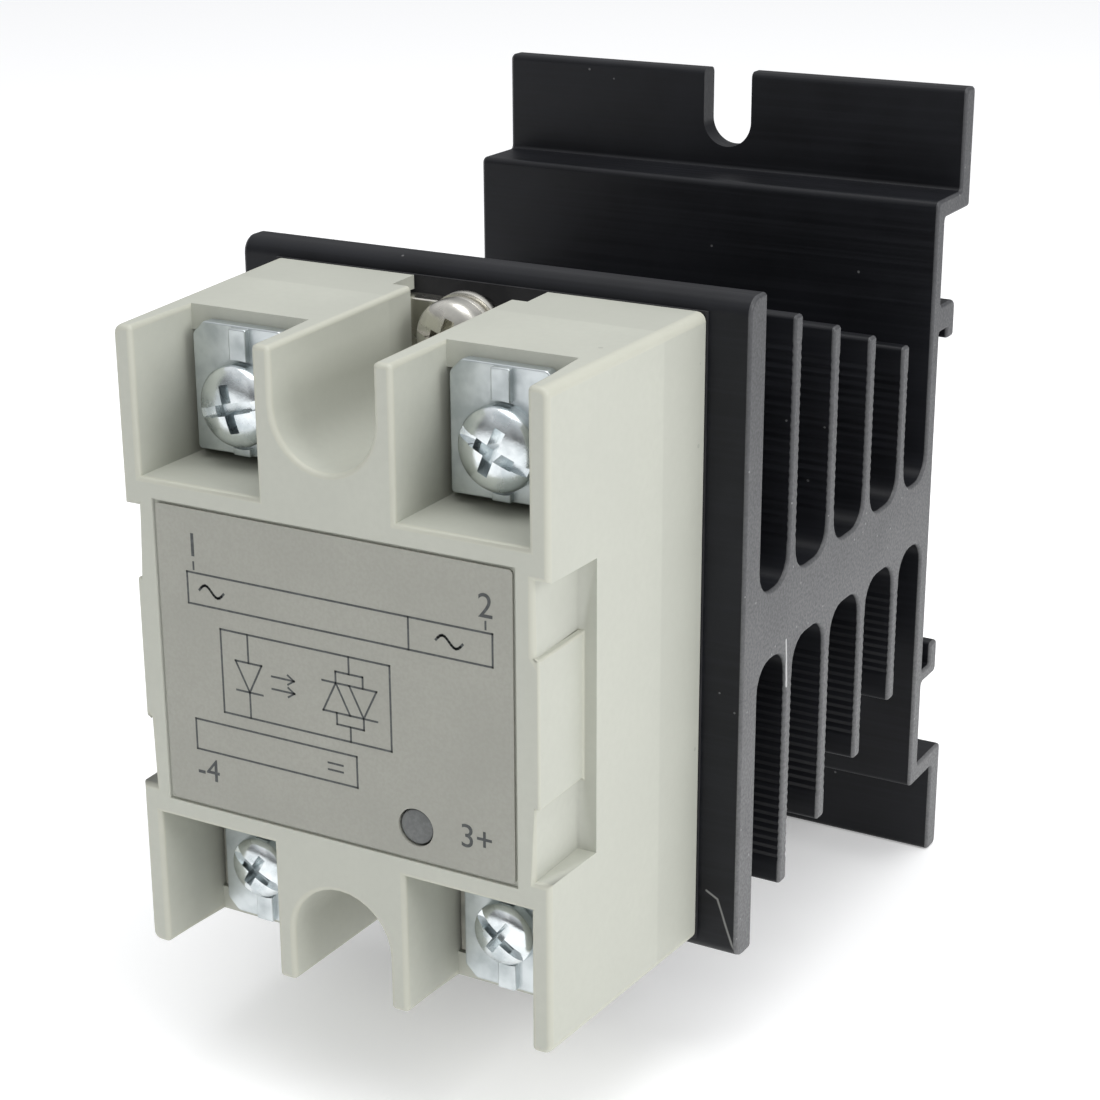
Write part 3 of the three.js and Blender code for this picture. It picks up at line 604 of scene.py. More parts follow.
class Workpiece:
    """A mesh being shaped, with the operations that this object's pieces need."""

    def __init__(self, bm: bmesh.types.BMesh | None = None) -> None:
        """Starts the workpiece.

        Args:
            bm: The mesh to shape, or nothing for an empty one.
        """
        self.bm = bm or bmesh.new()
        layers = self.bm.faces.layers.float
        self.rim = layers.get("rim") or layers.new("rim")

    @classmethod
    def from_node(cls, node: str) -> "Workpiece":
        """Copies a CAD node, merges the copy and makes its flat faces whole.

        Args:
            node: The node's name.

        Returns:
            The merged copy.
        """
        bm = bmesh.new()
        bm.from_mesh(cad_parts[node].data)
        bmesh.ops.remove_doubles(bm, verts=bm.verts, dist=MERGE_DISTANCE)
        bmesh.ops.dissolve_limit(bm, angle_limit=FLAT_ANGLE, verts=bm.verts, edges=bm.edges)
        return cls(bm)

    @classmethod
    def block(cls, low: Vector, high: Vector, turn: Matrix | None = None) -> "Workpiece":
        """Makes a block.

        Args:
            low: Its lowest corner.
            high: Its highest corner.
            turn: The rotation about its middle, if it has one.

        Returns:
            The closed block.
        """
        low, high = Vector(low), Vector(high)
        place = Matrix.Translation((low + high) / 2)
        if turn:
            place = place @ turn
        bm = bmesh.new()
        bmesh.ops.create_cube(bm, size=1.0, matrix=place @ Matrix.Diagonal((*(high - low), 1)))
        return cls(bm)

    @classmethod
    def prism(cls, corners: Sequence[Corner], axis: Axis, low: float, high: float,
              segments: int = 5) -> "Workpiece":
        """Draws an outline out along an axis.

        Args:
            corners: Each corner's two coordinates and the radius that rounds it.
            axis: The direction to draw along.
            low: Where the prism starts along the axis.
            high: Where it ends.
            segments: Steps in each rounded corner.

        Returns:
            The closed prism.
        """
        bm = bmesh.new()
        verts = [bm.verts.new(axis.place(across, up, low)) for across, up, _ in corners]
        bm.faces.new(verts)
        for radius in sorted({corner[2] for corner in corners if corner[2] > 0}):
            rounded = [vert for vert, corner in zip(verts, corners) if corner[2] == radius]
            bmesh.ops.bevel(bm, geom=rounded, offset=radius, offset_type="OFFSET", segments=segments,
                            profile=0.5, affect="VERTICES", material=-1, clamp_overlap=False)
        bmesh.ops.remove_doubles(bm, verts=bm.verts, dist=MERGE_DISTANCE)
        made = bmesh.ops.extrude_face_region(bm, geom=bm.faces[:])
        moved = [part for part in made["geom"] if isinstance(part, bmesh.types.BMVert)]
        bmesh.ops.translate(bm, vec=axis.direction() * (high - low), verts=moved)
        bmesh.ops.recalc_face_normals(bm, faces=bm.faces)
        return cls(bm)

    @classmethod
    def turned(cls, profile: Sequence[tuple[float, float]], centre: Vector, steps: int = 64) -> "Workpiece":
        """Spins a profile about an axis parallel to Y.

        Args:
            profile: Radius and depth along Y of each point. It starts and ends on the axis, or closes.
            centre: The axis's place, and the zero of the profile's depths.
            steps: Facets round the axis.

        Returns:
            The closed turned shape.
        """
        bm = bmesh.new()
        verts = [bm.verts.new((radius, depth, 0)) for radius, depth in profile]
        edges = [bm.edges.new(pair) for pair in zip(verts, verts[1:])]
        if profile[0][0] > 0:
            edges.append(bm.edges.new((verts[-1], verts[0])))
        bmesh.ops.spin(bm, geom=verts + edges, cent=(0, 0, 0), axis=(0, 1, 0), angle=2 * math.pi,
                       steps=steps, use_merge=True)
        bmesh.ops.remove_doubles(bm, verts=bm.verts, dist=MERGE_DISTANCE)
        bmesh.ops.recalc_face_normals(bm, faces=bm.faces)
        bmesh.ops.translate(bm, vec=centre, verts=bm.verts)
        return cls(bm)

    def round_ends(self, axis: Axis, radius: float, steps: int, material: int) -> None:
        """Rounds the edges of a prism's two ends outwards and marks the ends.

        Args:
            axis: The prism's axis.
            radius: How far the ends grow, and how far they are set in.
            steps: Rings in each rounding.
            material: Index of the finish that the ends take.
        """
        along = axis.direction()
        caps = [face for face in self.bm.faces
                if abs(face.normal.dot(along)) > END_FACING and len(face.verts) > FEWEST_END_CORNERS]
        for cap in caps:
            cap.material_index = material
            angles = [math.pi / 2 * step / steps for step in range(steps + 1)]
            for start, end in zip(angles, angles[1:]):
                inset = radius * (math.cos(start) - math.cos(end))
                rise = radius * (math.sin(end) - math.sin(start))
                made = bmesh.ops.inset_individual(self.bm, faces=[cap], thickness=inset, depth=rise,
                                                  use_even_offset=True)
                for face in made["faces"]:
                    face.material_index = material
                    face[self.rim] = 1.0

    def soften(self, width: float, segments: int = 3,
               where: Callable[[bmesh.types.BMEdge], bool] | None = None, angle: float = 28.0) -> None:
        """Rounds edges.

        Args:
            width: Distance from the old edge to the new faces' edges.
            segments: Steps in the rounding.
            where: Says which edges to round, and all sharp ones are rounded without it.
            angle: Smallest angle in degrees between an edge's two faces.
        """
        least = math.radians(angle)
        edges = [edge for edge in self.bm.edges if edge.is_manifold and edge.calc_face_angle() > least
                 and (where is None or where(edge))]
        made = bmesh.ops.bevel(self.bm, geom=edges, offset=width, offset_type="OFFSET", segments=segments,
                               profile=0.5, affect="EDGES", material=-1, clamp_overlap=False,
                               loop_slide=True)
        for face in made["faces"]:
            face[self.rim] = 1.0

    def add(self, other: "Workpiece") -> None:
        """Takes another workpiece's mesh in, without joining the surfaces.

        Args:
            other: The workpiece, which is used up.
        """
        mesh = bpy.data.meshes.new("carried")
        other.bm.to_mesh(mesh)
        other.bm.free()
        self.bm.from_mesh(mesh)
        bpy.data.meshes.remove(mesh)

    def carve(self, *tools: "Workpiece", join: bool = False) -> None:
        """Cuts other workpieces out of this one, or joins them to it.

        Args:
            tools: The other workpieces.
            join: Whether they are joined on, and they are cut out if not.
        """
        base = self._object("base")
        cutters = [tool._object("tool") for tool in tools]
        for cutter in cutters:
            boolean = base.modifiers.new("boolean", "BOOLEAN")
            boolean.operation = "UNION" if join else "DIFFERENCE"
            boolean.solver = "EXACT"
            boolean.object = cutter
        bpy.context.view_layer.update()
        solid = base.evaluated_get(bpy.context.evaluated_depsgraph_get())
        mesh = bpy.data.meshes.new_from_object(solid)
        self.bm.clear()
        self.bm.from_mesh(mesh)
        layers = self.bm.faces.layers.float
        self.rim = layers.get("rim") or layers.new("rim")
        bmesh.ops.remove_doubles(self.bm, verts=self.bm.verts, dist=MERGE_DISTANCE)
        for used in (base, *cutters):
            spent = used.data
            bpy.data.objects.remove(used)
            bpy.data.meshes.remove(spent)
        bpy.data.meshes.remove(mesh)

    def _object(self, name: str) -> bpy.types.Object:
        """Makes a passing object that holds this workpiece's mesh.

        Args:
            name: What the object is called.

        Returns:
            The object, linked to the scene.
        """
        mesh = bpy.data.meshes.new(name)
        self.bm.to_mesh(mesh)
        made = bpy.data.objects.new(name, mesh)
        bpy.context.scene.collection.objects.link(made)
        return made

    def finish(self, tag: Tag, *finishes: Finish) -> bpy.types.Object:
        """Makes the piece from the workpiece.

        Args:
            tag: Its name, body and the CAD nodes that it stands for, and a slot that is not used.
            finishes: One finish for each material index in the mesh.

        Returns:
            The finished object.
        """
        mesh = bpy.data.meshes.new(tag.name)
        self.bm.to_mesh(mesh)
        self.bm.free()
        mesh.shade_smooth()
        mesh.set_sharp_from_angle(angle=SHARP_ANGLE)
        for finish in finishes:
            mesh.materials.append(finish.material())
        piece = bpy.data.objects.new(tag.name, mesh)
        bpy.context.scene.collection.objects.link(piece)
        even = piece.modifiers.new("even_normals", "WEIGHTED_NORMAL")
        even.keep_sharp = True
        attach(piece, tag.body)
        if tag.stands_for:
            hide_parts(*tag.stands_for)
        log.info("%s: %d faces", tag.name, len(mesh.polygons))
        return piece


def turn_about_y(degrees: float, centre: Vector) -> Matrix:
    """Returns the matrix that turns things about an axis through a point, parallel to Y."""
    spin = Matrix.Rotation(math.radians(degrees), 4, "Y")
    return Matrix.Translation(centre) @ spin @ Matrix.Translation(-centre)


# ---------------------------------------------------------------------------- heat sink


@dataclass
class HeatSink:
    """The extrusion: seat plate, stem, fins, base, flanges with open slots, and rail hooks."""

    anodised: Finish
    sawn: Finish
    seat_thickness: float = 3.1 * MM
    seat_margin: float = 1.4 * MM
    seat_radius: float = 1.5 * MM
    stem_half: float = 3.2 * MM
    root_radius: float = 2.4 * MM
    fin_count: int = 4
    fin_thickness: float = 1.5 * MM
    fin_pitch: float = 8.4 * MM
    fin_reach: float = 26.4 * MM
    fin_reach_step: float = 2.85 * MM
    tooth_pitch: float = 0.81 * MM
    tooth_depth: float = 0.13 * MM
    plain_tip: float = 1.9 * MM
    base_thickness: float = 1.9 * MM
    base_set_off: float = 6.5 * MM
    flange_thickness: float = 2.3 * MM
    flange_height: float = 9.8 * MM
    step_thickness: float = 1.8 * MM
    slot_width: float = 5.2 * MM
    slot_depth: float = 7.6 * MM
    edge_radius: float = 0.4 * MM
    end_radius: float = 0.3 * MM
    rail_half: float = 17.65 * MM
    rail_centre: float = -0.45 * MM
    hook_reach: float = 3.9 * MM
    upper_arm: float = 2.6 * MM
    lip_thickness: float = 1.7 * MM
    upper_lip_drop: float = 1.1 * MM
    lower_lip_rise: float = 2.3 * MM
    lower_floor: float = 1.2 * MM
    bolt_hole_radius: float = 2.15 * MM
    cut_beyond: float = 1.0 * MM

    def __post_init__(self) -> None:
        """Works out the places that follow from the CAD box."""
        self.box = Extent.of("heat_sink")
        self.seat_front = self.box.low.y
        self.seat_back = self.seat_front + self.seat_thickness
        self.base_back = self.box.high.y - self.base_set_off
        self.base_front = self.base_back - self.base_thickness
        self.seat_half = Extent.of("relay_housing").high.z + self.seat_margin

    def teeth(self, face: float, inward: int, reach: float) -> list[Corner]:
        """Draws the serrations of one fin face, from its root to its plain tip.

        Args:
            face: The face's place along Y.
            inward: +1 or -1, the way along Y into the fin.
            reach: The fin's tip.

        Returns:
            The corners of the serrations, root to tip.
        """
        start = self.stem_half + self.root_radius + self.tooth_pitch
        count = int((reach - self.plain_tip - start) / self.tooth_pitch)
        points = []
        for number in range(count):
            foot = start + number * self.tooth_pitch
            points.append((face, foot, 0.0))
            points.append((face + inward * self.tooth_depth, foot + self.tooth_pitch / 2, 0.0))
        points.append((face, start + count * self.tooth_pitch, 0.0))
        return points

    def upper_outline(self) -> list[Corner]:
        """Returns the corners above the stem, from the seat's front to the back of the base."""
        edge, root = self.edge_radius, self.root_radius
        points = [(self.seat_front, self.seat_half, self.seat_radius)]
        points += [(self.seat_back, self.seat_half, edge)]
        middle = (self.seat_back + self.base_front) / 2
        leaving = self.seat_back
        for number in range(self.fin_count):
            centre = middle + self.fin_pitch * (number - (self.fin_count - 1) / 2)
            front, back = centre - self.fin_thickness / 2, centre + self.fin_thickness / 2
            reach = self.fin_reach - number * self.fin_reach_step
            points += [(leaving, self.stem_half, root), (front, self.stem_half, root)]
            points += self.teeth(front, 1, reach)
            points += [(front, reach, edge), (back, reach, edge)]
            points += reversed(self.teeth(back, -1, reach))
            leaving = back
        top = self.box.high.z
        flange_front = self.box.high.y - self.flange_thickness
        step = top - self.flange_height
        points += [(leaving, self.stem_half, root), (self.base_front, self.stem_half, root)]
        points += [(self.base_front, step, 1.5 * edge), (flange_front, step, edge)]
        points += [(flange_front, top, 1.5 * edge), (self.box.high.y, top, 1.5 * edge)]
        points += [(self.box.high.y, step - self.step_thickness, edge)]
        points += [(self.base_back, step - self.step_thickness, edge)]
        return points

    def hook_outline(self) -> list[Corner]:
        """Returns the corners of the two rail hooks, from above down."""
        edge = self.edge_radius
        tip = self.base_back + self.hook_reach
        slot = tip - self.lip_thickness
        above, below = self.rail_centre + self.rail_half, self.rail_centre - self.rail_half
        upper = [(self.base_back, above + self.upper_arm, edge), (tip, above + self.upper_arm, 2 * edge),
                 (tip, above - self.upper_lip_drop, edge), (slot, above - self.upper_lip_drop, edge),
                 (slot, above, edge / 2), (self.base_back, above, edge / 2)]
        lower = [(self.base_back, below, edge / 2), (slot, below, edge / 2),
                 (slot, below + self.lower_lip_rise, edge), (tip, below + self.lower_lip_rise, edge),
                 (tip, below - self.lower_floor, 1.5 * edge),
                 (self.base_back, below - self.lower_floor, edge)]
        return upper + lower

    def slot_cutter(self, side: int) -> Workpiece:
        """Makes the cutter of the open slot in one flange.

        Args:
            side: +1 for the upper flange and -1 for the lower.

        Returns:
            The cutter.
        """
        half = self.slot_width / 2
        floor = side * (self.box.high.z - self.slot_depth)
        beyond = side * (self.box.high.z + 2 * self.cut_beyond)
        corners = [(half, beyond, 0.0), (half, floor, half), (-half, floor, half), (-half, beyond, 0.0)]
        low = self.box.high.y - self.flange_thickness - self.cut_beyond
        high = self.box.high.y + self.cut_beyond
        return Workpiece.prism(corners, Axis.Y, low, high, segments=12)

    def bolt_cutter(self, end: str) -> Workpiece:
        """Makes the cutter of one tapped hole in the seat.

        Args:
            end: Which hole, upper or lower.

        Returns:
            The cutter.
        """
        bolt = Extent.of("mounting_screw_" + end)
        washer = Extent.of("lock_washer_" + end)
        centre = Vector((0, self.seat_front, washer.centre.z))
        radius, above, depth = self.bolt_hole_radius, -self.cut_beyond, bolt.high.y - self.seat_front
        return Workpiece.turned([(0, above), (radius, above), (radius, depth), (0, depth)], centre, 32)

    def build(self) -> None:
        """Makes the extrusion, cuts it and dresses it."""
        upper = self.upper_outline()
        lower = [(across, -up, radius) for across, up, radius in reversed(upper)]
        reach = self.box.high.x - self.end_radius
        bar = Workpiece.prism(upper + self.hook_outline() + lower, Axis.X, -reach, reach)
        bar.round_ends(Axis.X, self.end_radius, 3, material=1)
        bar.carve(self.slot_cutter(1), self.slot_cutter(-1),
                  self.bolt_cutter("upper"), self.bolt_cutter("lower"))
        bar.finish(Tag("heat_sink_extrusion", "black_anodised", ("heat_sink",)), self.anodised, self.sawn)


# ---------------------------------------------------------------------------- relay case


@dataclass
class RelayCase:
    """The grey moulding, its label with the print, and the indicator's lens."""

    moulding: Finish
    film: Finish
    ink: Finish
    lens: Finish
    corner_radius: float = 0.8 * MM
    grip_radius: float = 0.2 * MM
    rim_radius: float = 0.42 * MM
    # How far in from the case's own box its rims, corners and grip recesses are looked for.
    in_plane: float = 0.02 * MM
    end_band: float = 0.9 * MM
    corner_band_across: float = 1.4 * MM
    corner_band_up: float = 1.2 * MM
    grip_inner: float = 2.7 * MM
    grip_outer: float = 1.7 * MM
    grip_depth: float = 7.1 * MM
    grip_half_height: float = 6.5 * MM
    label_margin: float = 0.6 * MM
    label_corner: float = 0.35 * MM
    lens_room: float = 0.1 * MM
    lens_crown: float = 0.12 * MM
    lens_edge: float = 0.15 * MM
    print_height: float = 0.02 * MM
    stroke: float = 0.16 * MM
    digit_size: float = 2.9 * MM

    def __post_init__(self) -> None:
        """Works out the places that follow from the CAD boxes."""
        self.box = Extent.of("relay_housing")
        self.label = Extent.of("front_label")
        self.window = Extent.of("led_window")

    def on_front(self, edge: bmesh.types.BMEdge) -> bool:
        """Says whether an edge is a rim in the front plane, outside the label's recess.

        Args:
            edge: The edge of the housing's copy.

        Returns:
            Whether it is one.
        """
        recess = self.label.high + Vector((self.label_margin, 0, self.label_margin))
        outside = [abs(v.co.x) > recess.x or abs(v.co.z) > recess.z for v in edge.verts]
        near = [v.co.y < self.box.low.y + self.in_plane for v in edge.verts]
        return all(near) and any(outside)

    def on_outer_end(self, edge: bmesh.types.BMEdge) -> bool:
        """Says whether an edge runs front to back along the outer end of a wall or corner.

        Args:
            edge: The edge of the housing's copy.

        Returns:
            Whether it is one.
        """
        first, second = (v.co for v in edge.verts)
        along = abs((first - second).normalized().y) > PARALLEL
        outer = min(abs(first.z), abs(second.z)) > self.box.high.z - self.end_band
        return along and outer and min(first.y, second.y) < self.box.low.y + self.in_plane

    def on_corner(self, edge: bmesh.types.BMEdge) -> bool:
        """Says whether an edge runs front to back along one of the case's four outer corners.

        Args:
            edge: The edge of the housing's copy.

        Returns:
            Whether it is one.
        """
        first, second = (v.co for v in edge.verts)
        along = abs((first - second).normalized().y) > PARALLEL
        wide = min(abs(first.x), abs(second.x)) > self.box.high.x - self.corner_band_across
        return along and wide and min(abs(first.z), abs(second.z)) > self.box.high.z - self.corner_band_up

    def on_grip(self, edge: bmesh.types.BMEdge) -> bool:
        """Says whether an edge lies inside a grip recess, behind the front plane.

        Args:
            edge: The edge of the housing's copy.

        Returns:
            Whether it is one.
        """
        inner, outer = self.box.high.x - self.grip_inner, self.box.high.x - self.grip_outer
        floor = [inner < abs(v.co.x) < outer for v in edge.verts]
        deep = max(v.co.y for v in edge.verts) < self.box.low.y + self.grip_depth
        return all(floor) and deep and max(abs(v.co.z) for v in edge.verts) < self.grip_half_height

    def build_shell(self) -> None:
        """Rounds the moulding's rims and corners."""
        shell = Workpiece.from_node("relay_housing")
        shell.soften(self.grip_radius, 3, self.on_grip)
        shell.soften(self.corner_radius, 4, self.on_corner)
        shell.soften(self.rim_radius, 4, lambda edge: self.on_front(edge) or self.on_outer_end(edge))
        shell.finish(Tag("relay_case", "grey_moulding", ("relay_housing",)), self.moulding)

    def build_label(self) -> None:
        """Makes the label's film, with rounded corners and the indicator's hole."""
        low, high, corner = self.label.low, self.label.high, self.label_corner
        corners = [(low.x, low.z, corner), (high.x, low.z, corner), (high.x, high.z, corner),
                   (low.x, high.z, corner)]
        sheet = Workpiece.prism(corners, Axis.Y, low.y, high.y)
        centre = Vector((self.window.centre.x, low.y, self.window.centre.z))
        radius = self.window.size.x / 2 + self.lens_room
        sheet.carve(Workpiece.turned([(0, -MM), (radius, -MM), (radius, MM), (0, MM)], centre, 48))
        sheet.finish(Tag("label_sheet", "label_film", ("front_label",)), self.film)

    def line(self, start: tuple[float, float], end: tuple[float, float], width: float = 0.0) -> Workpiece:
        """Makes one printed stroke.

        Args:
            start: One end on the label, in millimetres from its middle.
            end: The other end.
            width: The stroke's width in metres, and 0 stands for the usual one.

        Returns:
            The stroke.
        """
        first, second = Vector((start[0], 0, start[1])) * MM, Vector((end[0], 0, end[1])) * MM
        width = width or self.stroke
        length = (second - first).length + width
        middle = (first + second) / 2 + Vector((0, self.label.low.y - self.print_height / 2, 0))
        half = Vector((length, self.print_height, width)) / 2
        slope = math.atan2(second.z - first.z, second.x - first.x)
        return Workpiece.block(middle - half, middle + half, Matrix.Rotation(-slope, 4, "Y"))

    def path(self, points: Sequence[tuple[float, float]], width: float = 0.0) -> list[Workpiece]:
        """Returns the strokes that join the points in turn."""
        return [self.line(start, end, width) for start, end in zip(points, points[1:])]

    def frame_box(self, left: float, right: float, bottom: float, top: float) -> list[Workpiece]:
        """Returns the four strokes of a printed rectangle."""
        corners = [(left, bottom), (right, bottom), (right, top), (left, top), (left, bottom)]
        return self.path(corners)

    def wave(self, x: float, z: float) -> list[Workpiece]:
        """Draws the alternating current sign.

        Args:
            x: Its middle across the label, in millimetres.
            z: Its middle up the label.

        Returns:
            The sign's strokes.
        """
        steps = range(13)
        points = [(x + (step - 6) * 0.2, z + 0.45 * math.sin(math.pi * step / 6)) for step in steps]
        return self.path(points, 1.3 * self.stroke)

    def diode(self, x: float, z: float, size: float, side: int) -> list[Workpiece]:
        """Draws a diode sign.

        Args:
            x: Its middle across the label, in millimetres.
            z: Its middle up the label.
            size: Half its width and half its height.
            side: +1 if it points up and -1 if it points down.

        Returns:
            The sign's strokes.
        """
        point = (x, z + side * size)
        base = [(x - size, z - side * size), (x + size, z - side * size)]
        bar = [(x - size, z + side * size), (x + size, z + side * size)]
        return self.path([base[0], base[1], point, base[0]]) + self.path(bar)

    def digit(self, text: str, x: float, z: float) -> Workpiece:
        """Prints a terminal number.

        Args:
            text: The number and its sign.
            x: Its middle across the label, in millimetres.
            z: Its middle up the label.

        Returns:
            The number's mesh.
        """
        curve = bpy.data.curves.new("number", "FONT")
        curve.body = text
        curve.size = self.digit_size
        curve.align_x = curve.align_y = "CENTER"
        curve.extrude = self.print_height / 2
        curve.resolution_u = 6
        holder = bpy.data.objects.new("number", curve)
        bpy.context.scene.collection.objects.link(holder)
        mesh = bpy.data.meshes.new_from_object(holder)
        stand = Matrix.Rotation(math.pi / 2, 4, "X")
        middle = (x * MM, self.label.low.y - self.print_height / 2, z * MM)
        mesh.transform(Matrix.Translation(middle) @ stand)
        bm = bmesh.new()
        bm.from_mesh(mesh)
        bmesh.ops.remove_doubles(bm, verts=bm.verts, dist=MERGE_DISTANCE)
        bpy.data.objects.remove(holder)
        bpy.data.curves.remove(curve)
        bpy.data.meshes.remove(mesh)
        return Workpiece(bm)

    def ruled_boxes(self) -> list[Workpiece]:
        """Returns the load and input boxes, with the wave and direct current signs in them."""
        bottom, top = 4.95, 7.7
        divider, sign = 7.45, 6.3
        strokes = self.frame_box(-14.0, 15.1, bottom, top) + self.frame_box(-13.95, 2.2, -8.15, -5.4)
        strokes += [self.line((divider, bottom), (divider, top))]
        strokes += self.wave(11.2, sign) + self.wave(-11.6, sign)
        strokes += [self.line((-0.6, level), (0.8, level)) for level in (-6.5, -7.1)]
        for lead in (-13.3, 14.5):
            strokes += self.path([(lead, 8.0), (lead, 8.6)])
        return strokes

    def circuit(self) -> list[Workpiece]:
        """Returns a generic circuit: a light emitter, two arrows and a pair of diodes in a frame."""
        bottom, top = -4.2, 3.2
        size, level = 1.3, -0.6
        above, below = level + size, level - size
        emitter, rising, falling = -8.2, 0.4, 3.0
        strokes = self.diode(emitter, level, size, -1) + self.path([(emitter, top), (emitter, above)])
        strokes += self.path([(emitter, below), (emitter, bottom)])
        tail, barb, tip = -5.9, -4.3, -3.7
        for drop in (0.0, -1.1):
            strokes += self.path([(tail, drop), (tip, drop)])
            strokes += self.path([(barb, drop + 0.4), (tip, drop), (barb, drop - 0.4)])
        strokes += self.diode(rising, level, size, 1) + self.diode(falling, level, size, -1)
        middle = (rising + falling) / 2
        for end, joint, rail in ((above, above + 1.0, top), (below, below - 1.0, bottom)):
            strokes += self.path([(rising, end), (rising, joint), (falling, joint), (falling, end)])
            strokes += self.path([(middle, joint), (middle, rail)])
        strokes += self.frame_box(-10.9, 5.6, bottom, top)
        return strokes

    def numbers(self) -> list[Workpiece]:
        """Returns the four terminal numbers."""
        return [self.digit("1", -13.3, 10.0), self.digit("2", 14.5, 9.8),
                self.digit("3+", 13.4, -10.1), self.digit("-4", -12.9, -10.0)]

    def build_print(self) -> None:
        """Prints boxes, a generic circuit and the terminal numbers on the label."""
        printed = Workpiece()
        for stroke in (*self.ruled_boxes(), *self.circuit(), *self.numbers()):
            printed.add(stroke)
        printed.finish(Tag("label_print", "label_film"), self.ink)

    def build_lens(self) -> None:
        """Turns the indicator's lens, with a soft rim and a slight crown."""
        radius, depth = self.window.size.x / 2, self.window.size.y
        crown, edge, steps = self.lens_crown, self.lens_edge, 6
        angles = [math.pi / 2 * step / steps for step in range(steps + 1)]
        arc = [(radius - edge + edge * math.sin(angle), crown + edge - edge * math.cos(angle))
               for angle in angles]
        profile = [(0, 0.0), (radius * 0.5, crown * 0.35), *arc, (radius, depth), (0, depth)]
        centre = Vector((self.window.centre.x, self.window.low.y, self.window.centre.z))
        lens = Workpiece.turned(profile, centre, 48)
        lens.finish(Tag("indicator_lens", "window_lens", ("led_window",)), self.lens)

    def build(self) -> None:
        """Makes the case and everything on its front."""
        self.build_shell()
        self.build_label()
        self.build_print()
        self.build_lens()


# ---------------------------------------------------------------------------- screws


@dataclass
class PanScrew:
    """A pan head screw with a cross recess and a slot across it."""

    head_radius: float
    head_height: float
    shank_radius: float
    length: float
    pitch: float = 0.6 * MM
    thread_depth: float = 0.25 * MM
    recess_width: float = 1.15 * MM
    recess_share: float = 0.72
    recess_depth: float = 1.45 * MM
    slot_width: float = 0.8 * MM
    slot_depth: float = 0.75 * MM
    rim_height_share: float = 0.42
    rim_softening: float = 0.15 * MM
    recess_taper: float = 0.62
    thread_start: float = 0.5 * MM
    plain_length: float = 1.5 * MM

    @classmethod
    def of(cls, node: str) -> "PanScrew":
        """Picks the screw that a CAD node needs.

        Args:
            node: The name of a screw's node, or of the piece that it holds.

        Returns:
            The screw, of that kind's size.
        """
        kinds = {"load": cls(3.5 * MM, 2.2 * MM, 1.75 * MM, 8 * MM),
                 "input": cls(2.8 * MM, 1.9 * MM, 1.5 * MM, 7 * MM, recess_width=0.95 * MM),
                 "mounting": cls(3.3 * MM, 2.5 * MM, 2.0 * MM, 8 * MM, pitch=0.7 * MM)}
        return next(kind for word, kind in kinds.items() if word in node)

    def profile(self) -> list[tuple[float, float]]:
        """Returns the head's dome, its straight side, the threads and the point, front to back."""
        dome = self.head_height * (1 - self.rim_height_share)
        steps = 10
        points = []
        for step in range(steps + 1):
            angle = math.pi / 2 * step / steps
            points.append((self.head_radius * math.sin(angle) ** 0.8, dome * (1 - math.cos(angle) ** 0.9)))
        edge = self.rim_softening
        under = self.head_height
        points += [(self.head_radius, under - edge), (self.head_radius - edge, under)]
        points += [(self.shank_radius, under)]
        turns = int((self.length - self.plain_length) / self.pitch)
        for turn in range(turns):
            crest = under + self.thread_start + turn * self.pitch
            points.append((self.shank_radius, crest))
            points.append((self.shank_radius - self.thread_depth, crest + self.pitch / 2))
        end = under + self.length
        points += [(self.shank_radius, end - self.shank_radius * 0.4)]
        points += [(self.shank_radius * 0.6, end), (0, end)]
        return points

    def shape(self, centre: Vector, turn: float) -> Workpiece:
        """Makes the screw.

        Args:
            centre: The middle of the crown.
            turn: How far the recess is turned, in degrees.

        Returns:
            The screw, cut and softened.
        """
        screw = Workpiece.turned(self.profile(), centre, 72)
        reach = self.head_radius * self.recess_share
        angle = turn_about_y(turn, centre)
        wings = []
        for half_x, half_z in ((self.recess_width / 2, reach), (reach, self.recess_width / 2)):
            wing = Workpiece.block(centre - Vector((half_x, MM, half_z)),
                                   centre + Vector((half_x, self.recess_depth, half_z)))
            deep = [v for v in wing.bm.verts if v.co.y > centre.y]
            for vert in deep:
                vert.co.x = centre.x + (vert.co.x - centre.x) * self.recess_taper
                vert.co.z = centre.z + (vert.co.z - centre.z) * self.recess_taper
            wings.append(wing)
        half = Vector((self.head_radius + MM, 0, self.slot_width / 2))
        slot = Workpiece.block(centre - half - Vector((0, MM, 0)),
                               centre + half + Vector((0, self.slot_depth, 0)))
        for tool in (*wings, slot):
            bmesh.ops.transform(tool.bm, matrix=angle, verts=tool.bm.verts)
        screw.carve(*wings, slot)
        return screw


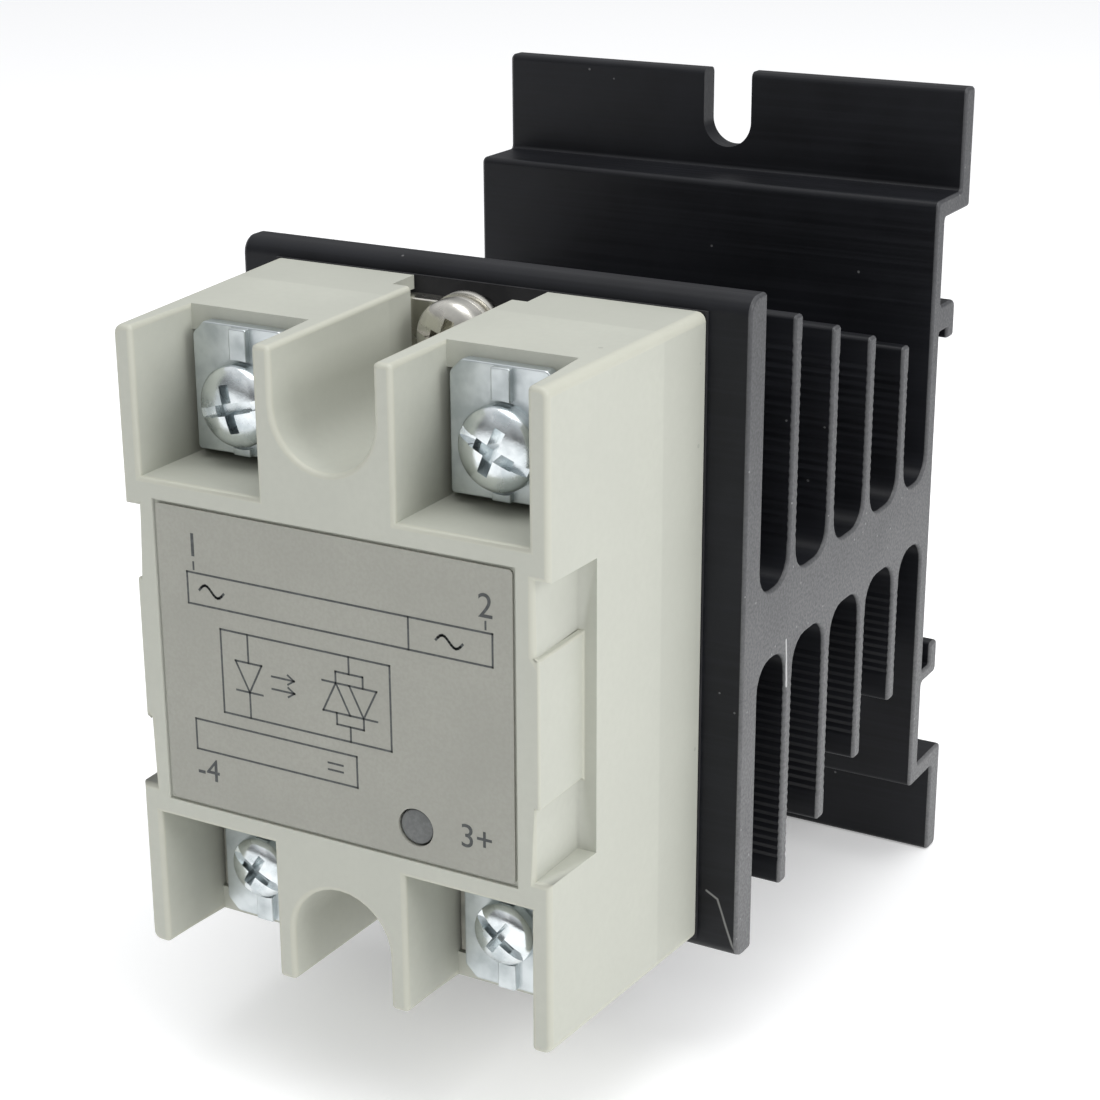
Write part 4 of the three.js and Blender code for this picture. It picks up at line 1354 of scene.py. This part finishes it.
@dataclass
class TerminalSet:
    """The four screw terminals: strip, clamp plate and screw in each."""

    bright: Finish
    satin: Finish
    tin: Finish
    ridge_width: float = 1.7 * MM
    ridge_height: float = 0.6 * MM
    corner_cut: float = 1.1 * MM
    softening: float = 0.14 * MM
    inner_corner: float = 0.3 * MM
    outer_corner: float = 0.2 * MM
    # The ridge stops short of the plate's ends and is sunk into its face, so that the two join.
    ridge_set_in: float = 0.1 * MM
    ridge_overlap: float = 0.3 * MM
    head_room: float = 0.3 * MM
    shank_room: float = 0.15 * MM

    TURNS: ClassVar[dict[str, float]] = {"load_1": -14.0, "load_2": 24.0, "input_3": 36.0, "input_4": 31.0}

    def clamp(self, label: str) -> None:
        """Makes one clamp plate with its ridge, cut corners and screw hole.

        Args:
            label: Which terminal, such as load_1.
        """
        node = "clamp_plate_" + label
        box = Extent.of(node)
        screw = PanScrew.of(node)
        back, face = box.high.y, box.low.y + self.ridge_height
        outward = 1 if box.centre.z > 0 else -1
        inner, outer = (box.low.z, box.high.z) if outward > 0 else (box.high.z, box.low.z)
        cut, small, large = self.corner_cut, self.outer_corner, self.inner_corner
        corners = [(box.low.x, inner, large), (box.high.x, inner, large),
                   (box.high.x, outer - outward * cut, small), (box.high.x - cut, outer, small),
                   (box.low.x + cut, outer, small), (box.low.x, outer - outward * cut, small)]
        plate = Workpiece.prism(corners, Axis.Y, face, back, segments=3)
        plate.soften(self.softening, 3, angle=50.0)
        half = self.ridge_width / 2
        middle = Extent.of("terminal_screw_" + label).centre
        ridge = Workpiece.block((middle.x - half, box.low.y, box.low.z + self.ridge_set_in),
                                (middle.x + half, face + self.ridge_overlap, box.high.z - self.ridge_set_in))
        ridge.soften(self.softening, 3)
        plate.carve(ridge, join=True)
        centre = Vector((middle.x, face, middle.z))
        room = screw.head_radius + self.head_room
        hole = screw.shank_radius + self.shank_room
        plate.carve(Workpiece.turned([(0, -2 * MM), (room, -2 * MM), (room, 0), (0, 0)], centre, 64),
                    Workpiece.turned([(0, -MM), (hole, -MM), (hole, 3 * MM), (0, 3 * MM)], centre, 48))
        plate.finish(Tag("clamp_" + label, "zinc_plate", (node,), "clamp_" + label), self.satin)

    def screw(self, label: str) -> None:
        """Makes one terminal screw.

        Args:
            label: Which terminal, such as load_1.
        """
        node = "terminal_screw_" + label
        box = Extent.of(node)
        crown = Vector((box.centre.x, box.low.y, box.centre.z))
        shape = PanScrew.of(node).shape(crown, self.TURNS[label])
        shape.finish(Tag("screw_" + label, "zinc_plate", (node,), "screw_" + label), self.bright)

    def strip(self, label: str) -> None:
        """Makes one terminal strip.

        Args:
            label: Which terminal, such as load_1.
        """
        node = "terminal_" + label
        strip = Workpiece.from_node(node)
        strip.soften(self.softening, 2)
        strip.finish(Tag("strip_" + label, "terminal_metal", (node,)), self.tin)

    def build(self) -> None:
        """Makes the four sets."""
        for label in self.TURNS:
            self.strip(label)
            self.clamp(label)
            self.screw(label)


@dataclass
class MountingHardware:
    """The two screws that hold the relay to the heat sink, their washers and the relay's base plate."""

    nickel: Finish
    split_angle: float = 14.0
    spring: float = 0.12 * MM
    softening: float = 0.12 * MM
    plate_softening: float = 0.2 * MM
    plain_hole_radius: float = 2.25 * MM
    spring_hole_radius: float = 2.15 * MM

    TURNS: ClassVar[dict[str, float]] = {"upper": 18.0, "lower": -22.0}

    def plain_washer(self, end: str) -> None:
        """Turns one flat washer.

        Args:
            end: Which set, upper or lower.
        """
        node = "flat_washer_" + end
        box = Extent.of(node)
        outer, inner, depth = box.size.x / 2, self.plain_hole_radius, box.size.y
        centre = Vector((box.centre.x, box.low.y, box.centre.z))
        ring = Workpiece.turned([(inner, 0), (outer, 0), (outer, depth), (inner, depth)], centre, 64)
        ring.soften(self.softening, 2)
        ring.finish(Tag("plain_washer_" + end, "nickel_plate", (node,)), self.nickel)

    def spring_washer(self, end: str) -> None:
        """Winds one split spring washer, with its two ends a little apart.

        Args:
            end: Which set, upper or lower.
        """
        node = "lock_washer_" + end
        box = Extent.of(node)
        outer, inner, depth = box.size.z / 2, self.spring_hole_radius, box.size.y - self.spring
        bm = bmesh.new()
        corners = [(inner, 0), (outer, 0), (outer, depth), (inner, depth)]
        bm.faces.new([bm.verts.new((across, along, 0)) for across, along in corners])
        steps = 48
        section = [*bm.verts, *bm.edges, *bm.faces]
        bmesh.ops.spin(bm, geom=section, cent=(0, 0, 0), axis=(0, 1, 0), steps=steps,
                       angle=math.radians(360 - self.split_angle), dvec=(0, self.spring / steps, 0))
        bmesh.ops.recalc_face_normals(bm, faces=bm.faces)
        bmesh.ops.translate(bm, vec=(box.centre.x, box.low.y, box.centre.z), verts=bm.verts)
        ring = Workpiece(bm)
        ring.soften(self.softening, 2)
        ring.finish(Tag("spring_washer_" + end, "nickel_plate", (node,)), self.nickel)

    def bolt(self, end: str) -> None:
        """Makes one mounting screw.

        Args:
            end: Which set, upper or lower.
        """
        node = "mounting_screw_" + end
        box = Extent.of(node)
        crown = Vector((box.centre.x, box.low.y, box.centre.z))
        shape = PanScrew.of(node).shape(crown, self.TURNS[end])
        shape.finish(Tag("mounting_bolt_" + end, "nickel_plate", (node,)), self.nickel)

    def base_plate(self) -> None:
        """Makes the relay's metal base plate."""
        plate = Workpiece.from_node("relay_base_plate")
        plate.soften(self.plate_softening, 3)
        plate.finish(Tag("base_plate", "nickel_plate", ("relay_base_plate",)), self.nickel)

    def build(self) -> None:
        """Makes both sets and the plate."""
        for end in self.TURNS:
            self.plain_washer(end)
            self.spring_washer(end)
            self.bolt(end)
        self.base_plate()


# ---------------------------------------------------------------------------- inner parts


@dataclass
class InnerParts:
    """The sealed parts, which keep their CAD shapes and get their finishes."""

    def finishes(self) -> dict[str, Finish]:
        """Returns the finish of each carried-over CAD node."""
        epoxy = Component("black_epoxy", (0.02, 0.02, 0.022), 0.5, (0.035, 0.035, 0.037))
        lacquer = Component("resistor_lacquer", (0.6, 0.5, 0.33), 0.45, (0.5, 0.4, 0.25))
        silicon = Component("metallised_silicon", (0.35, 0.36, 0.38), 0.35, (0.28, 0.29, 0.3), 1.0)
        return {
            "thermal_pad": Component("graphite_pad", (0.012, 0.012, 0.014), 0.7, (0.018, 0.018, 0.02)),
            "status_led": Component("red_epoxy", (0.5, 0.03, 0.02), 0.25, (0.4, 0.02, 0.015)),
            "control_board": Component("glass_laminate", (0.04, 0.2, 0.07), 0.5, (0.03, 0.15, 0.05)),
            "optocoupler": epoxy,
            "limiter_transistor": epoxy,
            "snubber_capacitor": Component("dipped_case", (0.5, 0.08, 0.04), 0.35, (0.42, 0.06, 0.03)),
            "snubber_resistor": lacquer,
            "input_resistor": lacquer,
            "ceramic_substrate": Component("alumina", (0.85, 0.84, 0.8), 0.5, (0.78, 0.77, 0.73)),
            "thyristor_chip_1": silicon,
            "thyristor_chip_2": silicon,
            "potting_resin": Component("cast_resin", (0.03, 0.03, 0.033), 0.3, (0.05, 0.05, 0.053)),
        }

    def build(self) -> None:
        """Dresses the carried-over nodes."""
        for node, finish in self.finishes().items():
            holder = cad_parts[node]
            if not holder.material_slots:
                holder.data.materials.append(None)
            for held in holder.material_slots:
                held.material = finish.material()
            log.info("%s: CAD node dressed in %s", node, finish.name)


# ---------------------------------------------------------------------------- studio


@dataclass(frozen=True)
class SoftLight:
    """A square soft light that faces the object's middle: its place and side in metres."""

    name: str
    place: tuple[float, float, float]
    side: float
    watts: float

    def hang(self) -> None:
        """Adds the light to the scene."""
        data = bpy.data.lights.new(self.name, "AREA")
        data.shape = "SQUARE"
        data.size = self.side
        data.energy = self.watts
        light = bpy.data.objects.new(self.name, data)
        light.location = self.place
        light.rotation_mode = "QUATERNION"
        light.rotation_quaternion = Vector(self.place).to_track_quat("Z", "Y")
        bpy.context.scene.collection.objects.link(light)


@dataclass
class Studio:
    """Camera, floor, surroundings and lights."""

    azimuth: float = 29.51
    elevation: float = 19.62
    roll: float = -0.26
    lens: float = 78.44
    camera_place: tuple[float, float, float] = (102.75 * MM, -183.02 * MM, 75.15 * MM)
    sensor: float = 36.0
    nearest: float = 0.01
    farthest: float = 50.0
    floor_size: float = 6.0
    floor_tone: float = 0.93
    floor_glow: float = 0.25
    low_tone: Colour = (0.07, 0.07, 0.07)
    high_tone: Colour = (0.9, 0.91, 0.93)
    fade_from: float = 0.05
    fade_to: float = 0.75
    room_strength: float = 0.9
    lights: tuple[SoftLight, ...] = (SoftLight("key", (0.6, -0.1, 0.3), 0.3, 2.0),
                                     SoftLight("overhead", (0.05, -0.05, 0.6), 0.4, 1.65),
                                     SoftLight("front_fill", (-0.2, -0.6, 0.25), 0.35, 0.12))

    def build_camera(self) -> None:
        """Stands the camera."""
        azimuth, elevation, roll = map(math.radians, (self.azimuth, self.elevation, self.roll))
        back = Vector((math.sin(azimuth) * math.cos(elevation), -math.cos(azimuth) * math.cos(elevation),
                       math.sin(elevation)))
        right = Vector((math.cos(azimuth), math.sin(azimuth), 0))
        up = back.cross(right)
        across = math.cos(roll) * right + math.sin(roll) * up
        upright = -math.sin(roll) * right + math.cos(roll) * up
        facing = Matrix((across, upright, back)).transposed().to_4x4()
        data = bpy.data.cameras.new("camera")
        data.lens = self.lens
        data.sensor_width = self.sensor
        data.clip_start, data.clip_end = self.nearest, self.farthest
        camera = bpy.data.objects.new("camera", data)
        camera.matrix_world = Matrix.Translation(self.camera_place) @ facing
        bpy.context.scene.collection.objects.link(camera)
        bpy.context.scene.camera = camera

    def build_floor(self) -> None:
        """Lays the floor under the object's lowest point."""
        bm = bmesh.new()
        level = Matrix.Translation((0, 0, CAD_BOUNDS[0].z))
        bmesh.ops.create_grid(bm, x_segments=1, y_segments=1, size=self.floor_size / 2, matrix=level)
        mesh = bpy.data.meshes.new("floor")
        bm.to_mesh(mesh)
        bm.free()
        material = bpy.data.materials.new("floor_paper")
        material.use_nodes = True
        shader = material.node_tree.nodes["Principled BSDF"]
        shader.inputs["Base Color"].default_value = (self.floor_tone, self.floor_tone, self.floor_tone, 1)
        shader.inputs["Roughness"].default_value = 0.9
        shader.inputs["Specular IOR Level"].default_value = 0.1
        shader.inputs["Emission Color"].default_value = (1, 1, 1, 1)
        shader.inputs["Emission Strength"].default_value = self.floor_glow
        mesh.materials.append(material)
        floor = bpy.data.objects.new("floor", mesh)
        bpy.context.scene.collection.objects.link(floor)

    def build_surroundings(self) -> None:
        """Surrounds the object with a pale room that is brighter overhead."""
        world = bpy.data.worlds.new("studio")
        world.use_nodes = True
        graph = Graph(world.node_tree)
        world.node_tree.nodes.clear()
        place = graph.add("ShaderNodeTexCoord").outputs["Generated"]
        height = graph.add("ShaderNodeSeparateXYZ", {0: place}).outputs["Z"]
        tone = graph.blend(graph.span(height, self.fade_from, self.fade_to), self.low_tone, self.high_tone)
        lit = graph.add("ShaderNodeBackground", {"Color": tone, "Strength": self.room_strength})
        seen = graph.add("ShaderNodeBackground", {"Color": (1, 1, 1, 1), "Strength": 1.0})
        seen_by_camera = graph.add("ShaderNodeLightPath").outputs["Is Camera Ray"]
        mixed = graph.add("ShaderNodeMixShader", {0: seen_by_camera, 1: lit.outputs[0], 2: seen.outputs[0]})
        graph.add("ShaderNodeOutputWorld", {"Surface": mixed.outputs[0]})
        bpy.context.scene.world = world

    def build(self) -> None:
        """Sets the whole studio up."""
        bpy.context.scene.view_settings.view_transform = "Standard"
        self.build_camera()
        self.build_floor()
        self.build_surroundings()
        for light in self.lights:
            light.hang()


# ---------------------------------------------------------------------------- making


def main() -> None:
    """Builds every part of the object and the studio around it."""
    logging.basicConfig(level=logging.INFO, format="%(name)s: %(message)s")
    anodised = Anodised("black_anodising", (0.008, 0.0085, 0.0105), 0.42,
                        scratch_from=(22.0 * MM, -12.8 * MM, -23.6 * MM),
                        scratch_bend=(23.1 * MM, -12.8 * MM, -24.2 * MM),
                        scratch_to=(24.8 * MM, -12.8 * MM, -29.0 * MM))
    # The sawn end's pale foot colour is painted light.
    sawn = SawnEnd("sawn_end", (0.047, 0.048, 0.052), 0.5, pale=(0.125, 0.126, 0.128), low_z=-22 * MM,
                   high_z=24 * MM, mark_from=(25 * MM, -3.9 * MM, -2.5 * MM),
                   mark_to=(25 * MM, -3.5 * MM, -7.0 * MM))
    # The skirt from this crease back takes painted shade, and the moulding's rim colour is a painted
    # highlight.
    crease = Extent.of("relay_housing").low.y + 17 * MM
    moulding = Moulding("grey_plastic", (0.475, 0.485, 0.425), 0.5, rim_highlight_colour=(0.5, 0.5, 0.42),
                        skirt_shade_from=crease)
    zinc = Plating("bright_zinc", (0.78, 0.82, 0.83), 0.16, stain=(0.5, 0.55, 0.57), dent_depth=0.02 * MM)
    satin_zinc = Plating("satin_zinc", (0.6, 0.64, 0.65), 0.32, stain=(0.45, 0.49, 0.5),
                         dent_depth=0.008 * MM)
    nickel = Plating("nickel", (0.7, 0.68, 0.62), 0.2, stain=(0.5, 0.49, 0.45), dent_depth=0.004 * MM)
    tin = Plating("tinned_brass", (0.5, 0.49, 0.45), 0.35, stain=(0.36, 0.36, 0.33), dent_depth=0.006 * MM)
    film = Film("printed_film", (0.325, 0.325, 0.285), 0.5)
    ink = Ink("label_ink", (0.05, 0.055, 0.055), 0.6)
    lens = Lens("smoked_lens", (0.085, 0.09, 0.088), 0.3)
    assemblies = (Studio(), HeatSink(anodised, sawn), RelayCase(moulding, film, ink, lens),
                  TerminalSet(zinc, satin_zinc, tin), MountingHardware(nickel), InnerParts())
    for assembly in assemblies:
        log.info("building %s", type(assembly).__name__)
        assembly.build()


if __name__ == "__main__":
    main()
